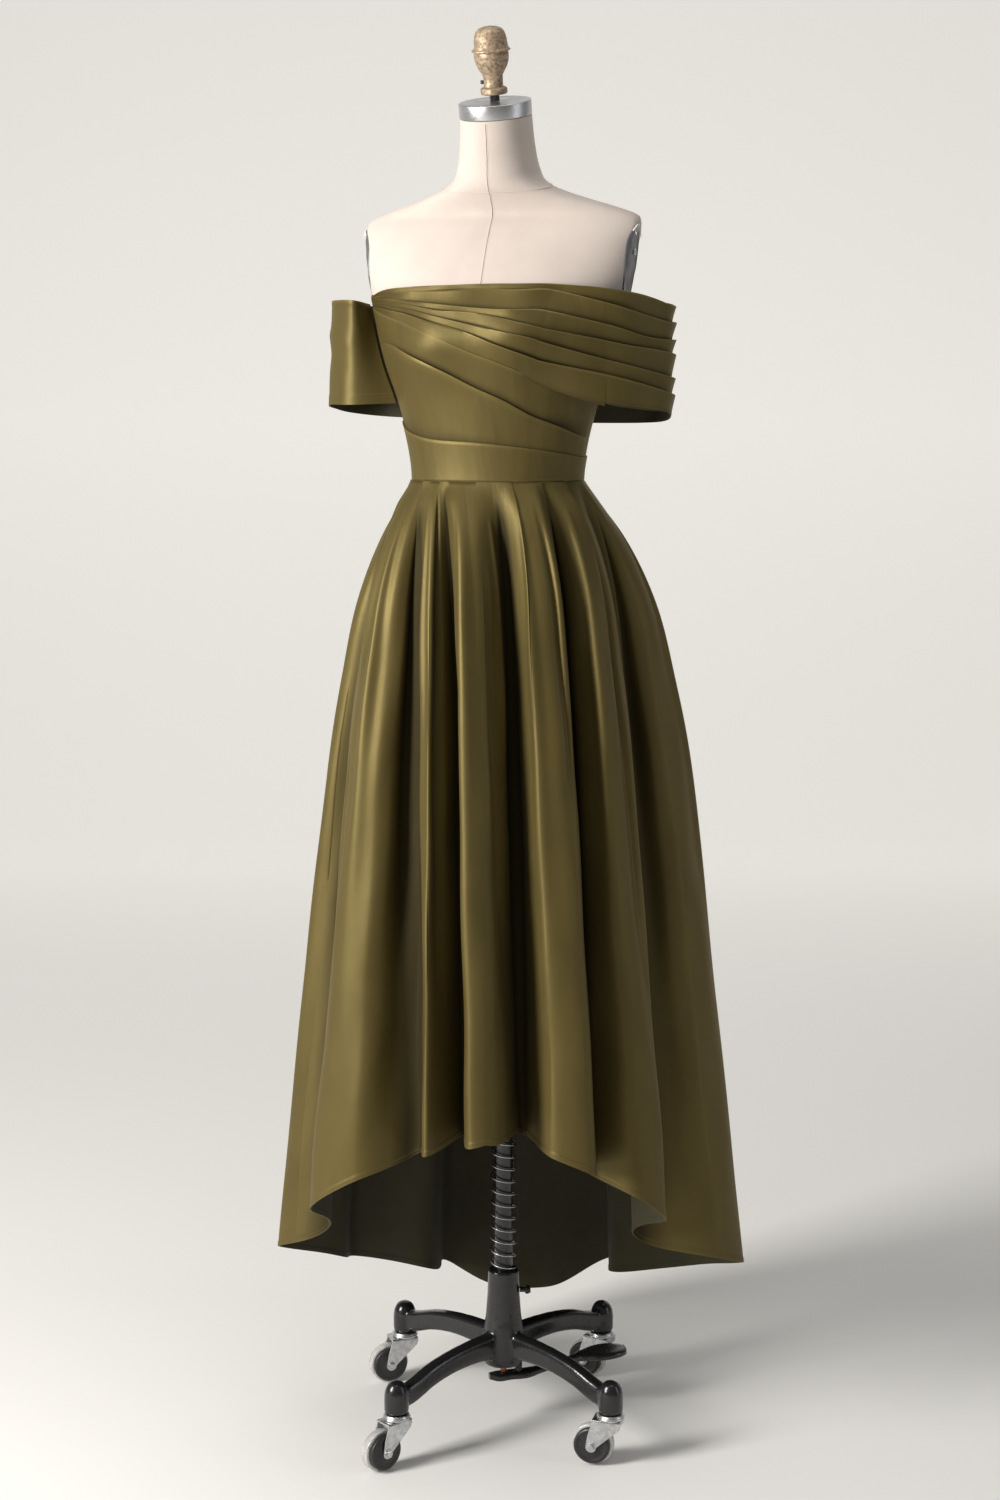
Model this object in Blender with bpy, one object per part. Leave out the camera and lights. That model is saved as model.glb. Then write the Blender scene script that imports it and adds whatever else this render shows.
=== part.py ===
"""Off-shoulder high-low satin dress, worn by a limbless dress form on a castor stand.

Metres, +Z up. The form faces -Y. Shapes are worked out about the pole's axis, and one empty sets
that axis so that the origin is at the middle of the floor under the whole part. Plan angles are in
degrees, 0 at the centre front and growing towards +X, the form's left side.
"""

import math

import bmesh
import bpy
import numpy as np

class Table:
    """A short table of numbers under named columns, its first column rising."""

    def __init__(self, columns, rows):
        self.columns = columns
        self.rows = rows

    def column(self, name):
        """One column's values; a value that a row leaves out reads as not-a-number."""
        place = self.columns.index(name)
        return np.array([math.nan if row[place] is None else row[place] for row in self.rows], float)

    def at(self, query, *names):
        """The named columns, or all but the first, read smoothly along the first column."""
        chosen = [self.column(name) for name in names or self.columns[1:]]
        found = hermite(self.column(self.columns[0]), np.stack(chosen, axis=-1), query)
        return found[..., 0] if found.shape[-1] == 1 else found


# Place of the pole's axis in the part's frame
POLE_X = -0.006
POLE_Y = -0.020

# Cloth
WALL = 0.0015
CLEAR = 0.0010
DRAPE_CLEAR = 0.0021
BUST_CLEAR = 0.0028
LANDING = CLEAR + WALL + 0.0006
FRONT_LANDING = BUST_CLEAR + WALL + 0.0012
SEAM_GAP = 0.0003
TUCK_DEPTH = 0.0028
SKIRT_PLEAT_DEPTH = 0.006

# Dress form, sections from the bottom up: height, half width, depths before and behind, centre
TORSO = Table(("z", "half_width", "front", "back", "centre_y"), (
    (1.165, 0.142, 0.100, 0.115, -0.029),
    (1.220, 0.150, 0.106, 0.118, -0.029),
    (1.300, 0.142, 0.104, 0.108, -0.029),
    (1.360, 0.127, 0.096, 0.097, -0.029),
    (1.402, 0.1205, 0.0925, 0.0925, -0.029),
    (1.450, 0.1255, 0.096, 0.093, -0.028),
    (1.510, 0.1410, 0.106, 0.096, -0.026),
    (1.560, 0.1600, 0.108, 0.098, -0.024),
    (1.600, 0.1720, 0.104, 0.099, -0.023),
    (1.640, 0.1820, 0.095, 0.096, -0.021),
    (1.680, 0.1920, 0.084, 0.090, -0.018),
    (1.720, 0.2000, 0.071, 0.080, -0.012),
    (1.748, 0.2030, 0.058, 0.068, -0.006),
    (1.764, 0.1900, 0.050, 0.058, -0.003),
    (1.775, 0.1600, 0.052, 0.056, -0.005),
    (1.786, 0.1240, 0.056, 0.055, -0.009),
    (1.797, 0.0910, 0.060, 0.054, -0.014),
    (1.810, 0.0670, 0.061, 0.054, -0.018),
    (1.830, 0.0570, 0.056, 0.053, -0.023),
    (1.860, 0.0520, 0.052, 0.051, -0.030),
    (1.897, 0.0496, 0.050, 0.049, -0.037),
))
TORSO_COLUMN_COUNT = 36
TORSO_RING_HEIGHTS = (
    1.165, 1.230, 1.320, 1.402, 1.430, 1.460, 1.490, 1.515, 1.540, 1.563, 1.585, 1.607,
    1.630, 1.655, 1.685, 1.715, 1.738, 1.753, 1.764, 1.775, 1.786, 1.797, 1.811, 1.835, 1.897,
)
BUST = {"x": 0.062, "z": 1.592, "width": 0.062, "height": 0.052, "depth": 0.030}
ARMHOLE = {"x": 0.171, "z": 1.600, "lean": 0.155, "lowest": 1.545}
NECK_TILT = math.radians(15.0)
NECK_TILT_FROM = 1.830
NECK_TOP = 1.897

# Waist seams
WAIST_Z = 1.402
BAND_TOP = Table(("angle", "z"), (
    (-180, 1.452), (-120, 1.462), (-85, 1.484), (-60, 1.470), (-35, 1.460), (0, 1.455),
    (30, 1.448), (60, 1.440), (90, 1.434), (135, 1.442), (180, 1.452),
))
BACK_TOP = Table(("angle", "z"), (
    (90, 1.598), (105, 1.625), (125, 1.648), (150, 1.652), (180, 1.646),
))

# Bodice front: its top edge and its one tuck
BODICE = Table(("angle", "top_z", "tuck_z", "tuck_depth"), (
    (-90, 1.600, 1.600, 0.0),
    (-80, 1.624, 1.596, 0.0),
    (-70, 1.6395, 1.592, 0.0),
    (-50, 1.626, 1.588, 0.4),
    (-33, 1.613, 1.572, 1.0),
    (-16, 1.595, 1.552, 1.0),
    (0, 1.575, 1.530, 1.0),
    (16, 1.5585, 1.512, 1.0),
    (32, 1.539, 1.492, 1.0),
    (39, 1.532, 1.486, 1.0),
    (46, 1.541, 1.481, 1.0),
    (55, 1.556, 1.475, 1.0),
    (66, 1.570, 1.468, 0.8),
    (90, 1.598, 1.460, 0.0),
))

# Drape and left sleeve, one row for each station along it. A station lies on the form at a plan
# angle, or off it at x and y. The heights are the tucks' folded edges, from the lowest up.
DRAPE = Table(("angle", "x", "y", "low", "tuck_1", "tuck_2", "tuck_3", "tuck_4", "tuck_5", "top"), (
    (-70, None, None, 1.6395, 1.6418, 1.6440, 1.6461, 1.6483, 1.6505, 1.6530),
    (-50, None, None, 1.6260, 1.6360, 1.6410, 1.6460, 1.6505, 1.6565, 1.6630),
    (-33, None, None, 1.6130, 1.6290, 1.6350, 1.6410, 1.6465, 1.6580, 1.6655),
    (-16, None, None, 1.5950, 1.6145, 1.6235, 1.6330, 1.6405, 1.6600, 1.6665),
    (0, None, None, 1.5750, 1.6000, 1.6130, 1.6280, 1.6360, 1.6610, 1.6675),
    (16, None, None, 1.5585, 1.5830, 1.6015, 1.6200, 1.6320, 1.6605, 1.6675),
    (32, None, None, 1.5390, 1.5655, 1.5905, 1.6070, 1.6320, 1.6590, 1.6670),
    (None, 0.168, -0.083, 1.5080, 1.5465, 1.5670, 1.5920, 1.6130, 1.6430, 1.6610),
    (None, 0.211, -0.046, 1.4995, 1.5340, 1.5530, 1.5830, 1.5990, 1.6265, 1.6530),
    (None, 0.236, 0.004, 1.4950, 1.5210, 1.5440, 1.5755, 1.5940, 1.6180, 1.6400),
    (None, 0.222, 0.055, 1.4840, 1.5140, 1.5420, 1.5720, 1.5960, 1.6200, 1.6450),
    (None, 0.180, 0.082, 1.4800, 1.5120, 1.5440, 1.5740, 1.6000, 1.6260, 1.6500),
    (132, None, None, 1.4800, 1.5120, 1.5440, 1.5740, 1.6000, 1.6270, 1.6520),
))
DRAPE_END = 7.0

# Right sleeve, plain: stations from the front to the back, and how far the cuff leans out
SLEEVE = Table(("angle", "x", "y", "low", "top"), (
    (-74, None, None, 1.5080, 1.6450),
    (None, -0.196, -0.080, 1.5060, 1.6500),
    (None, -0.235, -0.047, 1.5060, 1.6510),
    (None, -0.250, 0.000, 1.5020, 1.6500),
    (None, -0.238, 0.046, 1.4940, 1.6470),
    (None, -0.192, 0.078, 1.4880, 1.6480),
    (-132, None, None, 1.4860, 1.6500),
))
SLEEVE_LEAN = 0.030

# Skirt: one row for each ridge and valley of the hem, and the waist angle that it falls from
HEM = Table(("name", "angle", "radius", "waist_angle"), (
    ("front_right_fold", -4, 0.296, -32),
    ("front_right_tuck", 2.5, 0.215, -22),
    ("centre_fold_right", 8, 0.295, -15),
    ("centre_fold_left", 14, 0.285, -7),
    ("centre_hollow", 25, 0.190, 12),
    ("left_fold_start", 32, 0.278, 23),
    ("left_fold_end", 42, 0.292, 35),
    ("left_tuck", 50, 0.205, 43),
    ("side_fold_start", 58, 0.280, 52),
    ("side_fold_end", 69, 0.290, 66),
    ("left_side_hollow", 84, 0.205, 78),
    ("left_side_start", 98, 0.318, 88),
    ("left_side_fold", 110, 0.358, 97),
    ("left_back_fold", 126, 0.318, 112),
    ("left_back_hollow", 145, 0.215, 130),
    ("back_fold_left", 164, 0.335, 148),
    ("back_middle", 191, 0.328, 178),
    ("back_fold_right", 212, 0.335, 205),
    ("right_back_hollow", 231, 0.205, 228),
    ("right_back_fold", 250, 0.292, 245),
    ("right_back_dip", 264, 0.268, 256),
    ("right_side_fold", 283, 0.336, 266),
    ("right_side_hollow", 303, 0.262, 283),
    ("right_front_start", 318, 0.318, 300),
    ("right_front_fold", 333, 0.300, 313),
    ("right_front_hollow", 345, 0.225, 320),
))
HEM_TURN = 12.0
HEM_HEIGHT = Table(("turn", "z"), (
    (0, 0.520), (20, 0.492), (40, 0.440), (60, 0.365), (80, 0.290), (100, 0.235), (120, 0.195),
    (140, 0.175), (155, 0.145), (170, 0.090), (180, 0.080),
))
FLARE = Table(("drop", "share"), (
    (0.0, 0.0), (0.07, 0.23), (0.15, 0.40), (0.25, 0.51), (0.34, 0.60), (0.47, 0.69), (0.57, 0.755),
    (0.66, 0.81), (0.76, 0.87), (0.86, 0.93), (1.0, 1.0),
))
# Waist pleats: angle, side that lies on top (+1 the fold opens towards larger angles), size
WAIST_PLEAT = Table(("angle", "side", "size"), (
    (-22, 1, 1.0), (-42, 1, 1.0), (-62, 1, 0.8), (-82, 1, 0.8), (-118, -1, 0.8), (-140, -1, 0.8),
    (22, -1, 0.45), (42, -1, 0.6), (62, -1, 0.8), (82, -1, 0.8), (118, 1, 0.8), (140, 1, 0.8),
))
PLEAT_WIDTH = 13.0
PLEAT_FADE = 0.30
SKIRT_SEAMS = (
    ("skirt_front", -32.0, 33.0, 27),
    ("skirt_side_left", 33.0, 88.0, 22),
    ("skirt_back_left", 88.0, 180.0, 25),
    ("skirt_back_right", 180.0, 272.0, 25),
    ("skirt_side_right", 272.0, 328.0, 20),
)
SKIRT_DROPS = (0.0, 0.04, 0.10, 0.19, 0.31, 0.46, 0.63, 0.81, 1.0)

# Neck cap and finial, in the tilted frame of the neck's top
CAP_RADIUS = 0.0500
CAP_HEIGHT = 0.0200
CAP_EDGE = 0.0015
NUT = Table(("height", "radius"), ((0.0003, 0.0070), (0.0087, 0.0070)))
FINIAL = Table(("height", "radius"), (
    (0.0090, 0.0165), (0.0105, 0.0185), (0.0175, 0.0185), (0.0190, 0.0160), (0.0200, 0.0140),
    (0.0330, 0.0135), (0.0400, 0.0165), (0.0500, 0.0225), (0.0570, 0.0240), (0.0650, 0.0240),
    (0.0665, 0.0262), (0.0690, 0.0262), (0.0715, 0.0238), (0.0860, 0.0215), (0.0945, 0.0185),
    (0.0985, 0.0100),
))

# Pole, spring and hub
POLE_RADIUS = 0.0135
POLE_BOTTOM = 0.108
FLANGE = {"radius": 0.045, "height": 0.012}
SPRING = {"radius": 0.0180, "wire": 0.0012, "turns": 13, "steps": 8, "bottom": 0.2395, "top": 0.487}
STOP = {"radius": 0.0225, "height": 0.018}
HUB_BORE = 0.0141
HUB = Table(("z", "radius"), (
    (0.092, 0.0285), (0.100, 0.0310), (0.150, 0.0290), (0.165, 0.0265), (0.200, 0.0240),
    (0.238, 0.0225),
))
SET_SCREW_Z = 0.205

# Base arms: distance from the pole, middle height, depth and width of the slab. The whole base is
# turned under the form by BASE_TURN.
BASE_TURN = math.radians(17.0)
ARM_TURNS = (45, 135, 225, 315)
ARM = Table(("distance", "z", "depth", "width"), (
    (0.0180, 0.124, 0.040, 0.024),
    (0.0600, 0.126, 0.034, 0.023),
    (0.1050, 0.124, 0.031, 0.022),
    (0.1500, 0.116, 0.031, 0.022),
    (0.1850, 0.104, 0.032, 0.022),
    (0.2150, 0.098, 0.028, 0.022),
))
STEM_DISTANCE = 0.2165
STEM = Table(("z", "radius"), (
    (0.0800, 0.0160), (0.0830, 0.0178), (0.1040, 0.0178), (0.1150, 0.0165), (0.1230, 0.0125),
    (0.1275, 0.0065),
))

# Castors
WHEEL_RADIUS = 0.0300
WHEEL_SIDES = 16
TREAD_WIDTH = (-0.0025, 0.0110)
TREAD_BORE = 0.0203
CORE = Table(("across", "radius"), (
    (-0.0110, 0.0040), (-0.0110, 0.0235), (-0.0090, 0.0265), (-0.0028, 0.0265), (-0.0028, 0.0200),
    (0.0110, 0.0200), (0.0110, 0.0040),
))
AXLE = {"radius": 0.0035, "hole": 0.0040, "head": 0.0060, "head_length": 0.0035}
TRAIL = 0.026
TRAIL_TURNS = {"front_left": 310, "back_left": 290, "back_right": 240, "front_right": 255}
FORK = {"inner": 0.0122, "outer": 0.0145, "top": 0.0715, "crown": 0.0030}
HEAD = {"radius": 0.0200, "bottom": 0.0718, "top": 0.0797}

# Pedal, in its own direction from the pole, with the bracket that it rocks against
PEDAL_TURN = 105.0
BRACKET = {"distance": 0.0215, "z": 0.0823, "radius": 0.0050, "width": 0.018, "steps": 8}
LINK = {"radius": 0.0045, "bottom": 0.0771, "top": 0.1000}
PEDAL = Table(("distance", "z", "width", "depth"), (
    (-0.022, 0.072, 0.010, 0.009), (-0.010, 0.0705, 0.022, 0.012), (0.010, 0.071, 0.022, 0.012),
    (0.036, 0.071, 0.022, 0.012), (0.060, 0.075, 0.014, 0.010), (0.110, 0.086, 0.014, 0.010),
    (0.128, 0.089, 0.034, 0.011), (0.145, 0.090, 0.046, 0.012), (0.175, 0.091, 0.046, 0.012),
    (0.190, 0.091, 0.030, 0.011),
))


def clear_scene():
    """Empties the scene."""
    for obj in list(bpy.data.objects):
        bpy.data.objects.remove(obj)


def material(name, color, roughness, metallic=0.0):
    """A plain finish by name, made once."""
    found = bpy.data.materials.get(name)
    if found:
        return found
    made = bpy.data.materials.new(name)
    made.use_nodes = True
    shader = made.node_tree.nodes["Principled BSDF"]
    shader.inputs["Base Color"].default_value = (*color, 1.0)
    shader.inputs["Roughness"].default_value = roughness
    shader.inputs["Metallic"].default_value = metallic
    return made


def satin():
    return material("olive_satin", (0.115, 0.090, 0.030), 0.42)


def jersey():
    return material("cream_jersey", (0.80, 0.70, 0.60), 0.85)


def black_iron():
    return material("black_iron", (0.012, 0.012, 0.013), 0.25)


def zinc():
    return material("zinc_plate", (0.62, 0.63, 0.64), 0.32, 1.0)


def slopes(positions, values):
    """Finite-difference slopes for a Hermite curve through the rows."""
    steps = np.diff(positions)
    rates = np.diff(values, axis=0) / steps.reshape(-1, *([1] * (values.ndim - 1)))
    middle = (rates[1:] + rates[:-1]) / 2
    return np.concatenate([rates[:1], middle, rates[-1:]])


def hermite(positions, values, query):
    """A smooth curve through values at rising positions, read at query."""
    positions = np.asarray(positions, float)
    values = np.asarray(values, float)
    query = np.asarray(query, float)
    tangents = slopes(positions, values)
    index = np.clip(np.searchsorted(positions, query, side="right") - 1, 0, len(positions) - 2)
    width = positions[index + 1] - positions[index]
    part = (query - positions[index]) / width
    tail = [1] * (values.ndim - 1)
    part = part.reshape(*part.shape, *tail)
    width = width.reshape(*width.shape, *tail)
    return (
        values[index] * (2 * part**3 - 3 * part**2 + 1)
        + values[index + 1] * (3 * part**2 - 2 * part**3)
        + tangents[index] * width * (part**3 - 2 * part**2 + part)
        + tangents[index + 1] * width * (part**3 - part**2)
    )


def torso_point(angle, z, offset=0.0):
    """A point of the form's surface at a plan angle and height, moved out level by offset."""
    angle, z = np.broadcast_arrays(np.radians(np.asarray(angle, float)), np.asarray(z, float))
    half, front, back, centre = np.moveaxis(TORSO.at(z), -1, 0)
    sine, cosine = np.sin(angle), np.cos(angle)
    depth = np.where(cosine > 0, front, back)
    x = half * sine
    y = centre - depth * cosine
    for side in (-1, 1):
        away = ((x - side * BUST["x"]) / BUST["width"]) ** 2 + ((z - BUST["z"]) / BUST["height"]) ** 2
        y = y - BUST["depth"] * np.exp(-away) * np.clip(cosine, 0, 1) ** 0.5
    normal_x = depth * sine
    normal_y = -half * cosine
    length = np.hypot(normal_x, normal_y)
    x = x + offset * normal_x / length
    y = y + offset * normal_y / length
    reach = ARMHOLE["x"] + ARMHOLE["lean"] * (z - ARMHOLE["z"]) + offset
    x = np.where(z > ARMHOLE["lowest"], np.clip(x, -reach, reach), x)
    return np.stack([x, y, z * np.ones_like(x)], axis=-1)


def neck_tilted(points):
    """Leans the rings of the neck forward, more the higher they are."""
    share = np.clip((points[..., 2] - NECK_TILT_FROM) / (NECK_TOP - NECK_TILT_FROM), 0, 1)
    centre = TORSO.at(points[..., 2], "centre_y")
    lifted = points.copy()
    lifted[..., 2] += share * math.tan(NECK_TILT) * (points[..., 1] - centre)
    return lifted


def mesh_object(name, points, faces, surface, parent, smooth=40.0):
    """A closed mesh object with its faces turned outwards."""
    mesh = bpy.data.meshes.new(name)
    mesh.from_pydata([tuple(map(float, p)) for p in points], [], [tuple(map(int, f)) for f in faces])
    body = bmesh.new()
    body.from_mesh(mesh)
    bmesh.ops.recalc_face_normals(body, faces=body.faces)
    if body.calc_volume(signed=True) < 0:
        bmesh.ops.reverse_faces(body, faces=body.faces)
    body.to_mesh(mesh)
    body.free()
    mesh.shade_smooth()
    mesh.set_sharp_from_angle(angle=math.radians(smooth))
    mesh.materials.append(surface)
    obj = bpy.data.objects.new(name, mesh)
    bpy.context.scene.collection.objects.link(obj)
    obj.parent = parent
    return obj


def wall_faces(rows, columns, closed=False):
    """Faces of a sheet with an outer and an inner grid of points and its rims."""
    faces = []
    offset = rows * columns
    last = columns if closed else columns - 1

    def at(row, column, inner):
        return row * columns + column % columns + (offset if inner else 0)

    for row in range(rows - 1):
        for column in range(last):
            quad = [(row, column), (row, column + 1), (row + 1, column + 1), (row + 1, column)]
            faces.append([at(r, c, False) for r, c in quad])
            faces.append([at(r, c, True) for r, c in reversed(quad)])
    for column in range(last):
        for row, turned in ((0, False), (rows - 1, True)):
            rim = [at(row, column, True), at(row, column + 1, True)]
            rim += [at(row, column + 1, False), at(row, column, False)]
            faces.append(rim[::-1] if turned else rim)
    if not closed:
        for row in range(rows - 1):
            for column, turned in ((0, True), (columns - 1, False)):
                rim = [at(row, column, True), at(row + 1, column, True)]
                rim += [at(row + 1, column, False), at(row, column, False)]
                faces.append(rim if turned else rim[::-1])
    return faces


def wall(name, outer, inner, parent):
    """A cloth piece from an outer and an inner grid of points."""
    rows, columns = outer.shape[:2]
    points = np.concatenate([outer.reshape(-1, 3), inner.reshape(-1, 3)])
    faces = wall_faces(rows, columns)
    quads = []
    for face in faces:
        quads.append((face[0], face[1], face[2]))
        quads.append((face[0], face[2], face[3]))
    return mesh_object(name, points, quads, satin(), parent)


def loft(name, rings, surface, parent, smooth=40.0):
    """A closed body through rings of points, with a flat or pointed cap on each end."""
    count = len(rings[0])
    points = np.concatenate([np.asarray(ring, float) for ring in rings])
    faces = []
    for level in range(len(rings) - 1):
        for step in range(count):
            after = (step + 1) % count
            low, high = level * count, (level + 1) * count
            faces.append((low + step, low + after, high + after))
            faces.append((low + step, high + after, high + step))
    top = (len(rings) - 1) * count
    faces.append(tuple(range(count))[::-1])
    faces.append(tuple(top + step for step in range(count)))
    return mesh_object(name, points, faces, surface, parent, smooth)


def circle(radius, height, segments, start=0.0):
    """A level ring of points about the Z axis."""
    turn = start + 2 * math.pi * np.arange(segments) / segments
    return np.stack([radius * np.cos(turn), radius * np.sin(turn), np.full(segments, height)], axis=-1)


def turned(name, rows, segments, surface, parent, start=0.0):
    """A solid turned about the Z axis from rows of height and radius."""
    return loft(name, [circle(r, z, segments, start) for z, r in rows], surface, parent, 35.0)


def turned_ring(name, rows, segments, surface, parent, start=0.0):
    """A ring turned about the Z axis from a closed outline of height and radius."""
    points = np.concatenate([circle(r, z, segments, start) for z, r in rows])
    count = len(rows)
    faces = []
    for level in range(count):
        low, high = level * segments, (level + 1) % count * segments
        for step in range(segments):
            after = (step + 1) % segments
            faces.append((low + step, low + after, high + after, high + step))
    return mesh_object(name, points, faces, surface, parent, 35.0)


def empty(name, location, parent=None, turn=0.0):
    """A guide point that other pieces are placed by."""
    obj = bpy.data.objects.new(name, None)
    bpy.context.scene.collection.objects.link(obj)
    obj.location = location
    obj.rotation_euler = (0, 0, turn)
    obj.parent = parent
    return obj


def build_torso(axis):
    """The form's covered body, closed, from below the hips to the neck."""
    angles = 360.0 * np.arange(TORSO_COLUMN_COUNT) / TORSO_COLUMN_COUNT
    rings = [neck_tilted(torso_point(angles, np.full(len(angles), z))) for z in TORSO_RING_HEIGHTS]
    loft("form_torso", rings, jersey(), axis, 50.0)


def build_arm_plates(axis):
    """The oval plates that close the form's arm openings."""
    lean = math.atan(ARMHOLE["lean"])
    steel = material("grey_plate", (0.10, 0.105, 0.11), 0.5)
    for name, side in (("arm_plate_left", 1), ("arm_plate_right", -1)):
        middle_z = 1.690
        turn = 2 * math.pi * np.arange(28) / 28
        rings = []
        for out in (0.0006, 0.0036):
            along = 0.062 * np.sin(turn)
            across = 0.040 * np.cos(turn)
            x = ARMHOLE["x"] + ARMHOLE["lean"] * (middle_z - ARMHOLE["z"] + along * math.cos(lean)) + out
            z = middle_z + along * math.cos(lean)
            rings.append(np.stack([side * x, -0.010 + across, z], axis=-1))
        loft(name, rings, steel, axis)


def neck_frame(axis):
    """The guide at the middle of the neck's top, leaning as the neck does."""
    guide = empty("neck_top", (0, TORSO.column("centre_y")[-1], NECK_TOP), axis)
    guide.rotation_euler = (NECK_TILT, 0, 0)
    return guide


def build_neck_top(axis):
    """The steel cap, its nut and the turned finial."""
    guide = neck_frame(axis)
    steel = material("brushed_steel", (0.56, 0.57, 0.58), 0.3, 1.0)
    rows = ((0.0006, CAP_RADIUS - CAP_EDGE), (0.0006 + CAP_EDGE, CAP_RADIUS),
            (CAP_HEIGHT - CAP_EDGE, CAP_RADIUS), (CAP_HEIGHT, CAP_RADIUS - CAP_EDGE))
    turned("neck_cap", rows, 24, steel, guide)
    bronze = material("aged_bronze", (0.42, 0.29, 0.15), 0.45, 0.9)
    nut = [(CAP_HEIGHT + z, r) for z, r in NUT.rows]
    turned("finial_nut", nut, 6, black_iron(), guide)
    turned("finial", [(CAP_HEIGHT + z, r) for z, r in FINIAL.rows], 14, bronze, guide)


def band_top(angle):
    """Height of the waist band's top edge at a plan angle."""
    turn = (np.asarray(angle, float) + 180) % 360
    return BAND_TOP.at(np.where((turn == 0) & (np.asarray(angle) > 0), 360, turn) - 180)


def on_form(angles, heights, outward):
    """Grid of points on the form's surface, moved outwards; heights has a row for each level."""
    return torso_point(np.broadcast_to(angles, heights.shape), heights, outward)


def edge_angles(start, end, count, radius=0.125):
    """Plan angles between two seams, each half a seam gap short of its seam."""
    short = math.degrees(SEAM_GAP / 2 / radius)
    return np.linspace(start + short, end - short, count)


def build_midriff(axis):
    """The waist band, in a front and two back pieces."""
    for name, start, end, count in (
        ("midriff_front", -88.0, 88.0, 29),
        ("midriff_back_left", 88.0, 180.0, 15),
        ("midriff_back_right", -180.0, -88.0, 15),
    ):
        angles = edge_angles(start, end, count)
        low = WAIST_Z + SEAM_GAP
        high = band_top(angles) - SEAM_GAP
        share = np.linspace(0, 1, 3)[:, None]
        heights = low + (high - low) * share
        wall(name, on_form(angles, heights, CLEAR + WALL + 0.0004 * share[:, :, None][..., 0]),
             on_form(angles, heights, CLEAR), axis)


def build_bodice_front(axis):
    """The wrapped front panel with its tuck: the part below the tuck lies over the part above."""
    angles = edge_angles(-90.0, 90.0, 33)
    top, tuck, size = np.moveaxis(BODICE.at(angles), -1, 0)
    top = np.where((angles > LAID_ANGLES[0]) & (angles < LAID_ANGLES[-1]), drape_low(angles), top)
    top = top - SEAM_GAP
    low = band_top(angles) + SEAM_GAP
    tuck = np.clip(tuck, low + 0.004, top - 0.004)
    size = np.clip(size, 0, 1)
    levels = [low + (tuck - low) * share for share in (0.0, 0.34, 0.67, 1.0)]
    proud = [0.0 * size, 0.3 * size, 0.7 * size, size]
    levels += [tuck + 0.0012]
    proud += [0.0 * size]
    levels += [tuck + 0.0012 + (top - tuck - 0.0012) * share for share in (0.34, 0.67, 1.0)]
    proud += [0.0 * size, 0.15 * size, 0.25 * size]
    heights = np.array(levels)
    raised = TUCK_DEPTH * np.array(proud)
    stand = np.where(heights > tuck - TUCK_DEPTH, BUST_CLEAR, CLEAR)
    wall("bodice_front", on_form(angles, heights, stand + WALL + raised),
         on_form(angles, heights, stand), axis)


def build_bodice_back(axis):
    """The two plain back panels, which meet at the closed zip."""
    for name, side in (("bodice_back_left", 1), ("bodice_back_right", -1)):
        angles = edge_angles(90.0, 180.0, 13)
        top = BACK_TOP.at(angles)
        low = band_top(side * angles) + SEAM_GAP
        heights = low + (top - low) * np.linspace(0, 1, 7)[:, None]
        wall(name, on_form(side * angles, heights, CLEAR + WALL),
             on_form(side * angles, heights, CLEAR), axis)


LAID_ANGLES = DRAPE.column("angle")[:7]


def drape_low(angle):
    """Height of the drape's lower edge at a plan angle, where it lies on the form."""
    lows = DRAPE.column("low")
    station = np.interp(angle, LAID_ANGLES, np.arange(len(LAID_ANGLES)))
    return hermite(np.arange(len(lows)), lows, station)


def station_points(rows, z, outward, lands):
    """The stations' plan points at height z. A station on the form stands off it by outward, or
    by lands where the band comes back to rest on another panel."""
    found = []
    for number, row in enumerate(rows):
        if row[0] is None:
            found.append(np.array([row[1], row[2], z]))
        else:
            stand = lands[number] if number in lands else outward
            found.append(torso_point(row[0], z, stand))
    return np.array(found)


def band_grid(rows, stations, levels, outward, lands):
    """Points of a band at each station (columns) for the heights of each level (rows)."""
    index = np.arange(len(rows))
    grid = np.empty((len(levels), len(stations), 3))
    laid = [row[0] for row in rows if row[0] is not None and row is not rows[-1]]
    for column, station in enumerate(stations):
        for level in range(len(levels)):
            z = levels[level][column]
            if station <= len(laid) - 1:
                angle = np.interp(station, np.arange(len(laid)), laid)
                grid[level, column] = torso_point(angle, z, lands.get(0, outward))
            else:
                grid[level, column] = hermite(index, station_points(rows, z, outward, lands), station)
    return grid


def plan_normals(grid):
    """Level outward normals of a band's grid, along its columns."""
    along = np.gradient(grid, axis=1)
    normal = np.stack([along[..., 1], -along[..., 0], np.zeros(along.shape[:2])], axis=-1)
    return normal / np.linalg.norm(normal, axis=-1, keepdims=True)


def drape_levels(stations):
    """Heights of the drape's rows and how far each stands proud, tuck by tuck from the bottom."""
    heights = np.array([row[3:] for row in DRAPE.rows], float)
    lines = list(hermite(np.arange(len(heights)), heights, stations).T)
    levels, proud = [lines[0]], [np.zeros(len(stations))]
    for low, high in zip(lines[:-1], lines[1:]):
        spread = np.clip((high - low) / 0.012, 0.0, 1.0)
        last = high is lines[-1]
        step = np.minimum(0.0012, (high - low) * 0.2)
        if low is lines[0]:
            levels += [low + (high - low) / 3, low + (high - low) * 2 / 3]
            proud += [0.25 * spread, 0.55 * spread]
        levels.append(high - (0 if last else 1) * step)
        proud.append((0.35 if last else 1.0) * spread)
        if not last:
            levels.append(high + step * 0.5)
            proud.append(np.zeros(len(stations)))
    return np.array(levels), np.array(proud)


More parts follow.
